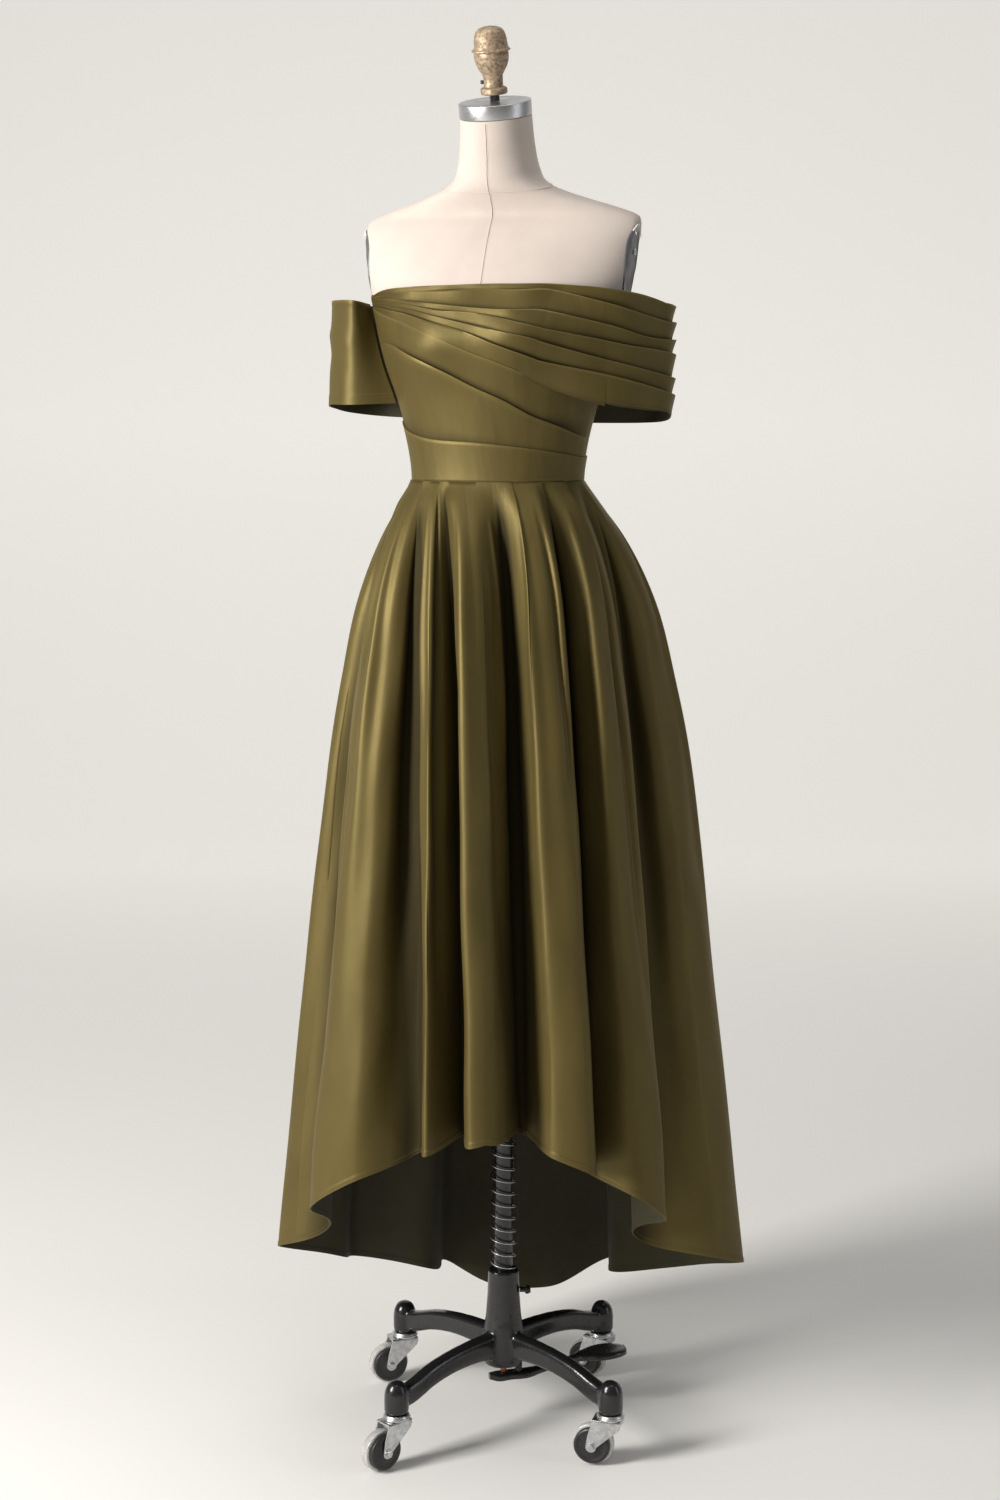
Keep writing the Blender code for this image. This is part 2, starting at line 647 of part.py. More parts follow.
def build_drape(axis):
    """The pleated drape over the bust, and the sleeve that its tucks run on into."""
    last = len(DRAPE.rows) - 1
    gap = 0.004
    lands = {last: LANDING}
    pieces = (
        ("bust_drape", 0.0, DRAPE_END - gap, 28),
        ("sleeve_left", DRAPE_END + gap, float(last), 18),
    )
    for name, start, end, count in pieces:
        stations = np.linspace(start, end, count)
        levels, proud = drape_levels(stations)
        levels[0] += SEAM_GAP
        inner = band_grid(DRAPE.rows, stations, levels, DRAPE_CLEAR, lands)
        normal = plan_normals(inner)
        raised = WALL + TUCK_DEPTH * proud
        wall(name, inner + normal * raised[..., None], inner, axis)


def build_sleeve_right(axis):
    """The plain off-shoulder band round the right arm opening."""
    last = len(SLEEVE.rows) - 1
    lands = {0: FRONT_LANDING, last: LANDING}
    stations = np.linspace(0, last, 26)
    edges = np.stack([SLEEVE.column("low"), SLEEVE.column("top")], axis=-1)
    low, high = hermite(np.arange(len(edges)), edges, stations).T
    share = np.linspace(0, 1, 5)[:, None]
    levels = low + (high - low) * share
    outer = band_grid(SLEEVE.rows, stations, levels, LANDING, lands)
    reach = np.sin(math.pi * np.linspace(0, 1, len(stations)))
    outer[..., 0] *= 1 + SLEEVE_LEAN * (1 - share) * reach
    # Stations run from the front to the back past -X, so the level normals point inwards.
    normal = -plan_normals(outer)
    wall("sleeve_right", outer + normal * WALL, outer, axis)


def hem_plan():
    """The hem's folded outline in plan: rising position, x, y and waist angle, closed on itself."""
    angle = np.radians(HEM.column("angle"))
    radius = HEM.column("radius")
    waist = HEM.column("waist_angle")
    points = np.stack([radius * np.sin(angle), -radius * np.cos(angle)], axis=-1)
    wrapped = np.concatenate([points[-3:], points, points[:4]])
    turns = np.concatenate([waist[-3:] - 360, waist, waist[:4] + 360])
    steps = np.linalg.norm(np.diff(wrapped, axis=0), axis=1)
    position = np.concatenate([[0], np.cumsum(steps)])
    return position, wrapped, turns


HEM_PLAN = hem_plan()
HEM_START = HEM_PLAN[0][3]
HEM_LENGTH = HEM_PLAN[0][-4] - HEM_PLAN[0][3]


def hem_turn_height(x, y):
    """Height of the hem above the floor where its outline passes x, y in plan."""
    turn = np.degrees(np.arctan2(x, -y)) - HEM_TURN
    turn = np.abs((turn + 180) % 360 - 180)
    return HEM_HEIGHT.at(turn)


def pleat_stand(angle, drop):
    """How far the folded edge of a waist pleat stands out, fading down the skirt."""
    total = np.zeros(np.broadcast(angle, drop).shape)
    for place, side, size in WAIST_PLEAT.rows:
        away = side * ((angle - place + 180) % 360 - 180)
        step = np.where((away >= 0) & (away < PLEAT_WIDTH), 1 - away / PLEAT_WIDTH, 0.0)
        total = total + size * SKIRT_PLEAT_DEPTH * step
    rise = np.clip(drop / 0.03, 0.25, 1.0)
    return total * rise * np.clip(1 - drop / PLEAT_FADE, 0, 1)


def skirt_point(position, drop):
    """A point of the skirt's middle surface: position along the hem, drop from 0 at the waist to 1."""
    places, plan, turns = HEM_PLAN
    hem = hermite(places, plan, position)
    angle = hermite(places, turns[:, None], position)[..., 0]
    share = FLARE.at(drop)
    waist = torso_point(angle, np.full(np.shape(angle), WAIST_Z), CLEAR + WALL)
    middle = np.array([0.0, TORSO.at(WAIST_Z, "centre_y")])
    away = waist[..., :2] - middle
    away = away / np.linalg.norm(away, axis=-1, keepdims=True)
    plan_point = waist[..., :2] + away * (pleat_stand(angle, drop))[..., None]
    plan_point = plan_point + (hem - waist[..., :2]) * share[..., None]
    low = hem_turn_height(hem[..., 0], hem[..., 1])
    top = WAIST_Z - SEAM_GAP
    z = top - drop * (top - low)
    return np.concatenate([plan_point, z[..., None]], axis=-1)


def skirt_normal(position, drop):
    """Outward unit normal of the skirt's middle surface, ignoring the small waist steps."""
    reach, fall = 0.002, 0.01
    side = skirt_point(position + reach, drop) - skirt_point(position - reach, drop)
    low = np.clip(drop + fall, 0, 1)
    high = np.clip(drop - fall, 0, 1)
    down = skirt_point(position, low) - skirt_point(position, high)
    normal = np.cross(side, -down)
    normal = normal / np.linalg.norm(normal, axis=-1, keepdims=True)
    level = normal * np.array([1.0, 1.0, 0.0])
    level = level / np.linalg.norm(level, axis=-1, keepdims=True)
    return np.where((drop < 0.001)[..., None], level, normal)


def position_at(waist_angle):
    """Position along the hem that falls from a waist angle."""
    places, _, turns = HEM_PLAN
    dense = np.linspace(places[0], places[-1], 4000)
    return float(np.interp(waist_angle, hermite(places, turns[:, None], dense)[:, 0], dense))


def build_skirt(axis):
    """The skirt's panels, each a wall on the same folded surface."""
    drops = np.array(SKIRT_DROPS)
    for name, start, end, count in SKIRT_SEAMS:
        first, last = position_at(start), position_at(end)
        if last < first:
            last += HEM_LENGTH
        base = np.linspace(first, last, count)
        grid_position = np.repeat(base[None, :], len(drops), axis=0)
        grid_drop = np.repeat(drops[:, None], count, axis=1)
        for column, direction in ((0, 1), (-1, -1)):
            here = skirt_point(grid_position[:, column], drops)
            near = skirt_point(grid_position[:, column] + direction * 0.001, drops)
            rate = np.linalg.norm(near - here, axis=-1) / 0.001
            grid_position[:, column] += direction * SEAM_GAP * 0.6 / rate
        middle = skirt_point(grid_position, grid_drop)
        normal = skirt_normal(grid_position, grid_drop)
        wall(name, middle + normal * WALL / 2, middle - normal * WALL / 2, axis)


def build_pole(axis):
    """The pole with the flange that carries the form, the spring and its stop."""
    flange_top = TORSO.column("z")[0] - SEAM_GAP
    flange_low = flange_top - FLANGE["height"]
    turned("form_flange", ((flange_low, FLANGE["radius"]), (flange_top, FLANGE["radius"])), 24,
           black_iron(), axis)
    turned("pole", ((POLE_BOTTOM, POLE_RADIUS), (flange_low - SEAM_GAP, POLE_RADIUS)), 20,
           black_iron(), axis)
    low, high = SPRING["top"] + SEAM_GAP, SPRING["top"] + SEAM_GAP + STOP["height"]
    bore = POLE_RADIUS + SEAM_GAP
    outline = ((low, bore), (low, STOP["radius"]), (high, STOP["radius"]), (high, bore))
    turned_ring("spring_stop", outline, 20, black_iron(), axis)
    build_spring(axis)


def build_spring(axis):
    """The coil spring, a wire of square section wound round the pole."""
    count = SPRING["turns"] * SPRING["steps"] + 1
    wire, radius = SPRING["wire"], SPRING["radius"]
    rings = []
    for step in range(count):
        turn = 2 * math.pi * step / SPRING["steps"]
        share = step / (count - 1)
        z = SPRING["bottom"] + wire + (SPRING["top"] - SPRING["bottom"] - 2 * wire) * share
        out = np.array([math.cos(turn), math.sin(turn), 0.0])
        up = np.array([0.0, 0.0, 1.0])
        centre = out * radius + up * z
        rings.append([centre + wire * (out * math.cos(q) + up * math.sin(q))
                      for q in (0, math.pi / 2, math.pi, 3 * math.pi / 2)])
    loft("spring", rings, zinc(), axis)


def arm_body(name, turn, axis):
    """One arched slab of the base, a helper that is joined to the hub."""
    along = np.array([math.sin(turn), -math.cos(turn), 0.0])
    across = np.array([math.cos(turn), math.sin(turn), 0.0])
    up = np.array([0.0, 0.0, 1.0])
    distances = np.linspace(*ARM.column("distance")[[0, -1]], 7)
    rings = []
    for distance, (z, depth, width) in zip(distances, ARM.at(distances)):
        corners = ((1, 0.7), (0.7, 1), (-0.7, 1), (-1, 0.7), (-1, -0.7), (-0.7, -1), (0.7, -1), (1, -0.7))
        rings.append([along * distance + across * width / 2 * a + up * (z + depth / 2 * b)
                      for a, b in corners])
    return as_helper(loft(name, rings, black_iron(), axis, 50.0))


def stem_body(name, turn, axis):
    """One vertical stem with its dome, a helper that is joined to the hub."""
    centre = np.array([math.sin(turn), -math.cos(turn), 0.0]) * STEM_DISTANCE
    rings = [circle(r, z, 14) + centre for z, r in STEM.rows]
    return as_helper(loft(name, rings, black_iron(), axis, 50.0))


def as_helper(obj):
    """Marks a shape that is only used to form another."""
    obj.hide_render = True
    obj.display_type = "WIRE"
    return obj


def arm_turn(degrees):
    """Plan angle in radians of a turn in degrees measured on the turned base."""
    return math.radians(degrees) + BASE_TURN


def build_base(axis):
    """The cast base: hub with its bore, four arched arms and four stems, in one body."""
    rows = list(HUB.rows)
    outline = rows + [(rows[-1][0], HUB_BORE), (rows[0][0], HUB_BORE)]
    hub = turned_ring("base_casting", outline, 20, black_iron(), axis)
    for number, degrees in enumerate(ARM_TURNS, 1):
        turn = arm_turn(degrees)
        for helper in (arm_body(f"helper_arm_{number}", turn, axis),
                       stem_body(f"helper_stem_{number}", turn, axis)):
            union = hub.modifiers.new(helper.name, "BOOLEAN")
            union.operation = "UNION"
            union.solver = "EXACT"
            union.object = helper
    guide = empty("set_screw_turn", (0, 0, 0), axis, BASE_TURN)
    side = empty("set_screw_axis", (0, 0, SET_SCREW_Z), guide)
    side.rotation_euler = (0, math.pi / 2, 0)
    reach = 0.0242
    turned("set_screw", ((reach, 0.0040), (reach + 0.008, 0.0040), (reach + 0.0081, 0.0065),
                         (reach + 0.016, 0.0065)), 12, black_iron(), side)


def build_castor(name, degrees, axis):
    """One castor: head plate on the stem, forked swivel, axle, black core and clear tread."""
    turn = arm_turn(degrees)
    x, y = STEM_DISTANCE * math.sin(turn), -STEM_DISTANCE * math.cos(turn)
    guide = empty(f"castor_{name}_swivel", (x, y, 0), axis, arm_turn(TRAIL_TURNS[name]) - math.pi / 2)
    head = ((HEAD["bottom"], HEAD["radius"] - 0.002), (HEAD["bottom"] + 0.002, HEAD["radius"]),
            (HEAD["top"] - 0.002, HEAD["radius"]), (HEAD["top"], HEAD["radius"] - 0.004))
    turned(f"castor_head_{name}", head, 12, zinc(), guide)
    build_fork(name, guide)
    axle = empty(f"castor_{name}_roll", (TRAIL, 0, WHEEL_RADIUS), guide)
    axle.rotation_euler = (math.pi / 2, 0, 0)
    seat = FORK["outer"] + SEAM_GAP
    reach = seat + AXLE["head_length"]
    rows = ((-reach, AXLE["head"]), (-seat, AXLE["head"]), (-seat, AXLE["radius"]),
            (seat, AXLE["radius"]), (seat, AXLE["head"]), (reach, AXLE["head"]))
    turned(f"castor_axle_{name}", rows, 8, zinc(), axle)
    black = material("black_core", (0.015, 0.015, 0.015), 0.35)
    turned_ring(f"wheel_core_{name}", CORE.rows, WHEEL_SIDES, black, axle, math.pi / WHEEL_SIDES)
    clear = material("clear_tread", (0.55, 0.55, 0.53), 0.15)
    low, high = TREAD_WIDTH
    outline = ((low, TREAD_BORE), (low, WHEEL_RADIUS), (high, WHEEL_RADIUS), (high, TREAD_BORE))
    flat = math.pi / WHEEL_SIDES
    widened = [(z, r / math.cos(flat) if r == WHEEL_RADIUS else r) for z, r in outline]
    turned_ring(f"wheel_tread_{name}", widened, WHEEL_SIDES, clear, axle, flat)


def build_fork(name, guide):
    """The forked leg of a castor: two tapering cheeks under a crown, drilled for the axle."""
    inner, outer, top = FORK["inner"], FORK["outer"], FORK["top"]
    crown = top - FORK["crown"]
    low = WHEEL_RADIUS - 0.0075
    section = ((-outer, low), (-outer, top), (outer, top), (outer, low), (inner, low), (inner, crown),
               (-inner, crown), (-inner, low))
    spans = {low: (TRAIL - 0.007, TRAIL + 0.007), crown: (-0.017, TRAIL - 0.002), top: (-0.017, TRAIL - 0.001)}
    points = [(spans[z][end], across, z) for end in (0, 1) for across, z in section]
    sides = [(0, 1, 6, 7), (1, 2, 5, 6), (2, 3, 4, 5)]
    faces = [tuple(reversed(side)) for side in sides]
    faces += [tuple(8 + corner for corner in side) for side in sides]
    faces += [(a, (a + 1) % 8, 8 + (a + 1) % 8, 8 + a) for a in range(8)]
    triangles = []
    for face in faces:
        triangles += [(face[0], face[1], face[2]), (face[0], face[2], face[3])]
    fork = mesh_object(f"castor_fork_{name}", points, triangles, zinc(), guide)
    reach = 2 * FORK["outer"]
    drill_rows = ((-reach, AXLE["hole"]), (reach, AXLE["hole"]))
    drill = as_helper(turned(f"helper_drill_{name}", drill_rows, 8, zinc(), guide))
    drill.location = (TRAIL, 0, WHEEL_RADIUS)
    drill.rotation_euler = (math.pi / 2, 0, 0)
    cut = fork.modifiers.new("axle_hole", "BOOLEAN")
    cut.operation = "DIFFERENCE"
    cut.solver = "EXACT"
    cut.object = drill


def build_pedal(axis):
    """The foot pedal, a lever with an oval pad, the bracket over it and the link that it lifts."""
    guide = empty("pedal_hinge", (0, 0, 0), axis, arm_turn(PEDAL_TURN) - math.pi / 2)
    corners = ((1, 0.4), (0.8, 1), (-0.8, 1), (-1, 0.4), (-1, -0.4), (-0.8, -1), (0.8, -1), (1, -0.4))
    rings = [[(distance, width / 2 * a, z + depth / 2 * b) for a, b in corners]
             for distance, z, width, depth in PEDAL.rows]
    loft("pedal", rings, black_iron(), guide, 50.0)
    rings = []
    top = HUB.column("z")[0] - SEAM_GAP
    turn = math.pi * np.arange(BRACKET["steps"] + 1) / BRACKET["steps"]
    for side in (-1, 1):
        round_x = BRACKET["distance"] - BRACKET["radius"] * np.cos(turn)
        round_z = BRACKET["z"] - BRACKET["radius"] * np.sin(turn)
        outline = list(zip(round_x, round_z)) + [(round_x[-1], top), (round_x[0], top)]
        rings.append([(x, side * BRACKET["width"] / 2, z) for x, z in outline])
    loft("pedal_bracket", rings, black_iron(), guide, 50.0)
    copper = material("copper_link", (0.30, 0.09, 0.06), 0.4, 0.6)
    rows = ((LINK["bottom"], LINK["radius"]), (LINK["top"], LINK["radius"]))
    turned("pedal_link", rows, 10, copper, guide)


def main():
    clear_scene()
    axis = empty("pole_axis", (POLE_X, POLE_Y, 0))
    build_torso(axis)
    build_arm_plates(axis)
    build_neck_top(axis)
    build_midriff(axis)
    build_bodice_front(axis)
    build_bodice_back(axis)
    build_drape(axis)
    build_sleeve_right(axis)
    build_skirt(axis)
    build_pole(axis)
    build_base(axis)
    build_pedal(axis)
    for name, degrees in zip(("front_right", "back_right", "back_left", "front_left"), ARM_TURNS):
        build_castor(name, degrees, axis)


if __name__ == "__main__":
    main()
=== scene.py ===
"""Looks of an off-shoulder high-low satin dress on its dress form and castor stand.

Metres, +Z up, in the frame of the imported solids. The form faces -Y. Shapes are worked out about the
pole's axis and moved to its place when a mesh is made. Plan angles are in degrees, 0 at the centre
front and growing towards +X, the form's left side.
"""

import logging
import math
from dataclasses import dataclass, field
from enum import Enum
from typing import Iterable, Sequence

import bmesh
import bpy
import numpy as np
from mathutils import Matrix


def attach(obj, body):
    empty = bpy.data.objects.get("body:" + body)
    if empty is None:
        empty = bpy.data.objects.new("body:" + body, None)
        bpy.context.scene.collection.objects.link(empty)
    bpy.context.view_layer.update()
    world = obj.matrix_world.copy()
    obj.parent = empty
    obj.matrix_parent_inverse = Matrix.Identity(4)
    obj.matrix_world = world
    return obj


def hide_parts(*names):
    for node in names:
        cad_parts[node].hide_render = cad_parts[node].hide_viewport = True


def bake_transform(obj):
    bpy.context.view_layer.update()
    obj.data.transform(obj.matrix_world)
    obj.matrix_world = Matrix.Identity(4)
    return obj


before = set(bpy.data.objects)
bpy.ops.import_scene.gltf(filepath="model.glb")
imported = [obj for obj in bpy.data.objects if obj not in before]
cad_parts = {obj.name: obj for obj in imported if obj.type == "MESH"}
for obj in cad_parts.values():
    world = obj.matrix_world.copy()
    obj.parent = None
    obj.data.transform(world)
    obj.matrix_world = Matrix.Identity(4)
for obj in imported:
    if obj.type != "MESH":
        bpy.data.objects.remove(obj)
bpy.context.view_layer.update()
log = logging.getLogger("dress")

POLE = np.array([-0.006, -0.020, 0.0])
WAIST_Z = 1.402
WALL = 0.0009
STITCH_RISE = 0.0002
# A cut piece fills at least this share of the rectangle that it is cut from
LEAST_FILL = 0.31
UP = np.array([0.0, 0.0, 1.0])


class Held(Enum):
    """How a sheet of cloth is held."""

    HUNG = "hung"
    DRAPED = "draped"
    GATHERED = "gathered"
    STRETCHED = "stretched"


class Table:
    """A short table of numbers under named columns, its first column rising."""

    def __init__(self, columns: Sequence[str], rows: Sequence[Sequence[float | None]]) -> None:
        """Keeps the rows.

        Args:
            columns: a name for each column.
            rows: one tuple of numbers for each row.
        """
        self.columns = tuple(columns)
        self.rows = tuple(rows)

    def column(self, name: str) -> np.ndarray:
        """One column's values, with not-a-number where a row leaves it out."""
        place = self.columns.index(name)
        return np.array([math.nan if row[place] is None else row[place] for row in self.rows], float)

    def at(self, query: np.ndarray | float, *names: str) -> np.ndarray:
        """The named columns, or all but the first, read smoothly along the first column."""
        chosen = [self.column(name) for name in names or self.columns[1:]]
        found = hermite(self.column(self.columns[0]), np.stack(chosen, axis=-1), query)
        return found[..., 0] if found.shape[-1] == 1 else found


def hermite(positions: np.ndarray, values: np.ndarray, query: np.ndarray | float) -> np.ndarray:
    """A smooth curve through values at rising positions.

    Args:
        positions: rising numbers, one for each value.
        values: the values, along the first axis.
        query: where to read the curve.

    Returns:
        The values read at query.
    """
    positions = np.asarray(positions, float)
    values = np.asarray(values, float)
    query = np.asarray(query, float)
    tail = [1] * (values.ndim - 1)
    rates = np.diff(values, axis=0) / np.diff(positions).reshape(-1, *tail)
    tangents = np.concatenate([rates[:1], (rates[1:] + rates[:-1]) / 2, rates[-1:]])
    index = np.clip(np.searchsorted(positions, query, side="right") - 1, 0, len(positions) - 2)
    width = positions[index + 1] - positions[index]
    part = ((query - positions[index]) / width).reshape(*query.shape, *tail)
    width = width.reshape(*query.shape, *tail)
    return cubic(values[index], values[index + 1], tangents[index] * width,
                 tangents[index + 1] * width, part)


def cubic(first: np.ndarray, second: np.ndarray, leaving: np.ndarray, arriving: np.ndarray,
          part: np.ndarray) -> np.ndarray:
    """A smooth step between two values.

    Args:
        first: the value where part is 0.
        second: the value where part is 1.
        leaving: the rate at the first value.
        arriving: the rate at the second value.
        part: how far along the step.

    Returns:
        The values on the way.
    """
    return (first * (2 * part**3 - 3 * part**2 + 1) + second * (3 * part**2 - 2 * part**3)
            + leaving * (part**3 - 2 * part**2 + part) + arriving * (part**3 - part**2))


def unit(vectors: np.ndarray) -> np.ndarray:
    """Vectors along the last axis, brought to a length of one."""
    return vectors / np.maximum(np.linalg.norm(vectors, axis=-1, keepdims=True), 1e-12)


def headings(turn: float) -> tuple[np.ndarray, np.ndarray]:
    """Level directions across and along a plan turn in radians; along is -Y at no turn."""
    sine, cosine = math.sin(turn), math.cos(turn)
    return np.array([cosine, sine, 0.0]), np.array([sine, -cosine, 0.0])


def squared_ring(count: int, power: float) -> list[np.ndarray]:
    """Places round a square with round corners: across and up, from -1 to 1."""
    corner = 2 * math.pi * (np.arange(count) + 0.5) / count
    return [np.sign(way) * np.abs(way) ** power for way in (np.cos(corner), np.sin(corner))]


# Shader trees


class Wire:
    """A socket that sums can be written on."""

    def __init__(self, graph: "Graph", socket: bpy.types.NodeSocket) -> None:
        """Keeps the tree and the socket."""
        self.graph = graph
        self.socket = socket

    def sum(self, operation: str, *values: "Wire | float", clamp: bool = False) -> "Wire":
        """A Math node on values.

        Args:
            operation: the node's operation.
            values: numbers or wires, in socket order.
            clamp: whether the result stays from 0 to 1.

        Returns:
            The node's result.
        """
        settings = {"operation": operation, "use_clamp": clamp}
        return self.graph.add("ShaderNodeMath", settings, dict(enumerate(values)))

    def __add__(self, other: "Wire | float") -> "Wire":
        """Sum."""
        return self.sum("ADD", self, other)

    __radd__ = __add__

    def __sub__(self, other: "Wire | float") -> "Wire":
        """Difference."""
        return self.sum("SUBTRACT", self, other)

    def __rsub__(self, other: float) -> "Wire":
        """Difference from a number."""
        return self.sum("SUBTRACT", other, self)

    def __mul__(self, other: "Wire | float") -> "Wire":
        """Product."""
        return self.sum("MULTIPLY", self, other)

    __rmul__ = __mul__

    def __truediv__(self, other: "Wire | float") -> "Wire":
        """Quotient."""
        return self.sum("DIVIDE", self, other)

    def clamped(self) -> "Wire":
        """The value held from 0 to 1."""
        return self.sum("ADD", self, 0.0, clamp=True)


class Graph:
    """A node tree being written."""

    def __init__(self, tree: bpy.types.NodeTree) -> None:
        """Keeps the tree."""
        self.tree = tree

    def add(self, kind: str, settings: dict | None = None, inputs: dict | None = None,
            output: int | str = 0) -> Wire:
        """Adds a node.

        Args:
            kind: the node's type.
            settings: its properties; "stops" gives a ramp's places and colours.
            inputs: numbers, colours or wires by socket name or number.
            output: which output is wanted.

        Returns:
            The output as a wire.
        """
        node = self.tree.nodes.new(kind)
        for name, value in (settings or {}).items():
            if name != "stops":
                setattr(node, name, value)
                continue
            elements = node.color_ramp.elements
            while len(elements) < len(value):
                elements.new(0.5)
            for element, (place, color) in zip(elements, value):
                element.position = place
                element.color = (*color, 1.0)
        for key, value in (inputs or {}).items():
            socket = node.inputs[key]
            if isinstance(value, Wire):
                self.tree.links.new(value.socket, socket)
            else:
                socket.default_value = value
        return Wire(self, node.outputs[output])

    def mix(self, share: Wire | float, first: Wire | tuple, second: Wire | tuple) -> Wire:
        """A colour between two, by share."""
        settings = {"data_type": "RGBA"}
        colours = {0: share, 6: self.opaque(first), 7: self.opaque(second)}
        return self.add("ShaderNodeMix", settings, colours, 2)

    @staticmethod
    def opaque(color: Wire | tuple) -> Wire | tuple:
        """A colour with its alpha, or a wire as it is."""
        return color if isinstance(color, Wire) else (*color[:3], 1.0)

    def coordinates(self, kind: str, scale: Sequence[float] = (1, 1, 1)) -> Wire:
        """Object or UV coordinates, stretched by scale."""
        found = self.add("ShaderNodeTexCoord", output=kind)
        return self.add("ShaderNodeMapping", inputs={"Vector": found, "Scale": tuple(scale)})

    def noise(self, where: Wire, scale: float, detail: float = 3.0, rough: float = 0.55,
              distort: float = 0.0) -> Wire:
        """A noise from 0 to 1."""
        inputs = {"Vector": where, "Scale": scale, "Detail": detail, "Roughness": rough,
                  "Distortion": distort}
        return self.add("ShaderNodeTexNoise", {"noise_dimensions": "3D"}, inputs)

    def ramp(self, value: Wire, low: float, high: float) -> Wire:
        """The value stretched so that low reads 0 and high reads 1."""
        return ((value - low) / (high - low)).clamped()

    def bump(self, height: Wire, strength: float, distance: float, under: Wire | None = None) -> Wire:
        """A bump of some height in metres, on another one where under is given."""
        inputs = {"Strength": strength, "Distance": distance, "Height": height}
        return self.add("ShaderNodeBump", None, inputs | ({"Normal": under} if under else {}))


@dataclass(frozen=True)
class Finish:
    """A surface finish with plain values; a subclass adds what varies over the surface."""

    name: str
    color: tuple[float, float, float]
    roughness: float
    metallic: float = 0.0
    plain: tuple[tuple[str, float | tuple], ...] = ()

    def material(self) -> bpy.types.Material:
        """The finish's material, made once."""
        found = bpy.data.materials.get(self.name)
        if found:
            return found
        made = bpy.data.materials.new(self.name)
        made.use_nodes = True
        shader = made.node_tree.nodes["Principled BSDF"]
        shader.inputs["Base Color"].default_value = (*self.color, 1.0)
        shader.inputs["Roughness"].default_value = self.roughness
        shader.inputs["Metallic"].default_value = self.metallic
        for socket, value in self.plain:
            shader.inputs[socket].default_value = value
        graph = Graph(made.node_tree)
        for socket, wire in self.detail(graph).items():
            made.node_tree.links.new(wire.socket, shader.inputs[socket])
        return made

    def detail(self, graph: Graph) -> dict[str, Wire]:
        """Wires for the sockets that vary over the surface."""
        return {}

    def tint(self, share: float) -> tuple[float, float, float]:
        """The finish's colour made lighter or darker."""
        return tuple(min(1.0, c * share) for c in self.color)


@dataclass(frozen=True)
class Satin(Finish):
    """Woven satin: fine floats across the cloth, soft crumple, a painted highlight on folded edges and
    painted shade in fold valleys.
    """

    thread: float = 0.00045
    crumple: float = 0.0006

    def detail(self, graph: Graph) -> dict[str, Wire]:
        """Weave, crumple, and the painted highlight and painted shade at folds."""
        cloth = graph.coordinates("UV")
        weft = graph.add("ShaderNodeTexWave", {"bands_direction": "Y", "wave_profile": "SIN"},
                         {"Vector": cloth, "Scale": 0.314 / self.thread, "Distortion": 1.5,
                          "Detail": 1.0, "Detail Scale": 0.4}, "Fac")
        slub = graph.noise(graph.coordinates("UV", (900, 60, 1)), 1.0, 2.0)
        soft = graph.noise(graph.coordinates("UV", (24, 9, 1)), 1.0, 3.0, 0.5, 0.6)
        fine = graph.noise(graph.coordinates("UV", (85, 36, 1)), 1.0, 3.0, 0.55, 0.8)
        edge = graph.add("ShaderNodeAttribute", {"attribute_name": "fold_edge"}, output="Fac")
        shade = graph.mix(graph.ramp(soft, 0.25, 0.75), self.tint(0.86), self.tint(1.12))
        shade = graph.mix(graph.ramp(slub, 0.3, 0.9) * 0.08, shade, self.tint(1.5))
        # Painted light: the per-point attribute lightens folded edges as a painted highlight and darkens
        # fold valleys as painted shade.
        shade = graph.mix(edge.clamped() * 0.55, shade, self.tint(2.0))
        hollow_shade = (0.0 - edge).clamped()
        shade = graph.mix(hollow_shade * 0.88, shade, self.tint(0.12))
        rough = self.roughness - 0.05 + 0.07 * fine + 0.03 * slub + 0.28 * hollow_shade
        weave = graph.bump(weft + 0.7 * slub, 0.35, 0.00008)
        crumple = graph.bump(soft + 0.22 * fine, 1.0, self.crumple, weave)
        return {"Base Color": shade, "Roughness": rough, "Normal": crumple}


@dataclass(frozen=True)
class Jersey(Finish):
    """Close knitted cover with fine upright ribs and a slight mottle."""

    stitch: float = 0.0011

    def detail(self, graph: Graph) -> dict[str, Wire]:
        """Knit ribs and mottle."""
        where = graph.coordinates("Object")
        cells = graph.add("ShaderNodeTexVoronoi", {"feature": "F1"},
                          {"Vector": graph.coordinates("Object", (1, 1, 0.6)),
                           "Scale": 1 / self.stitch, "Randomness": 0.35}, "Distance")
        mottle = graph.noise(where, 22.0, 4.0)
        fuzz = graph.noise(where, 700.0, 2.0)
        shade = graph.mix(graph.ramp(mottle, 0.3, 0.7), self.tint(0.95), self.tint(1.04))
        shade = graph.mix(graph.ramp(cells, 0.2, 0.9) * 0.25, shade, self.tint(0.8))
        bump = graph.bump(fuzz * 0.6 - cells, 0.5, 0.0003)
        return {"Base Color": shade, "Roughness": self.roughness - 0.06 * mottle, "Normal": bump}


@dataclass(frozen=True)
class WornMetal(Finish):
    """Metal with fine marks, uneven gloss and small pits.

    marks is the stretch of the fine marks along X, Y and Z; grain the size of the uneven gloss.
    """

    marks: tuple[float, float, float] = (400.0, 400.0, 400.0)
    grain: float = 60.0
    depth: float = 0.00012
    dull: float = 0.16
    shade: float = 0.75

    def detail(self, graph: Graph) -> dict[str, Wire]:
        """Fine marks, uneven gloss and darker patches."""
        fine = graph.noise(graph.coordinates("Object", self.marks), 1.0, 3.0)
        broad = graph.noise(graph.coordinates("Object"), self.grain, 4.0)
        patches = graph.ramp(broad, 0.35, 0.7)
        shade = graph.mix(patches, self.tint(self.shade), self.tint(1.08))
        rough = (self.roughness + self.dull * (fine - 0.5) + self.dull * (0.6 - patches)).clamped()
        bump = graph.bump(fine + 0.6 * broad, 0.6, self.depth)
        return {"Base Color": shade, "Roughness": rough, "Normal": bump}


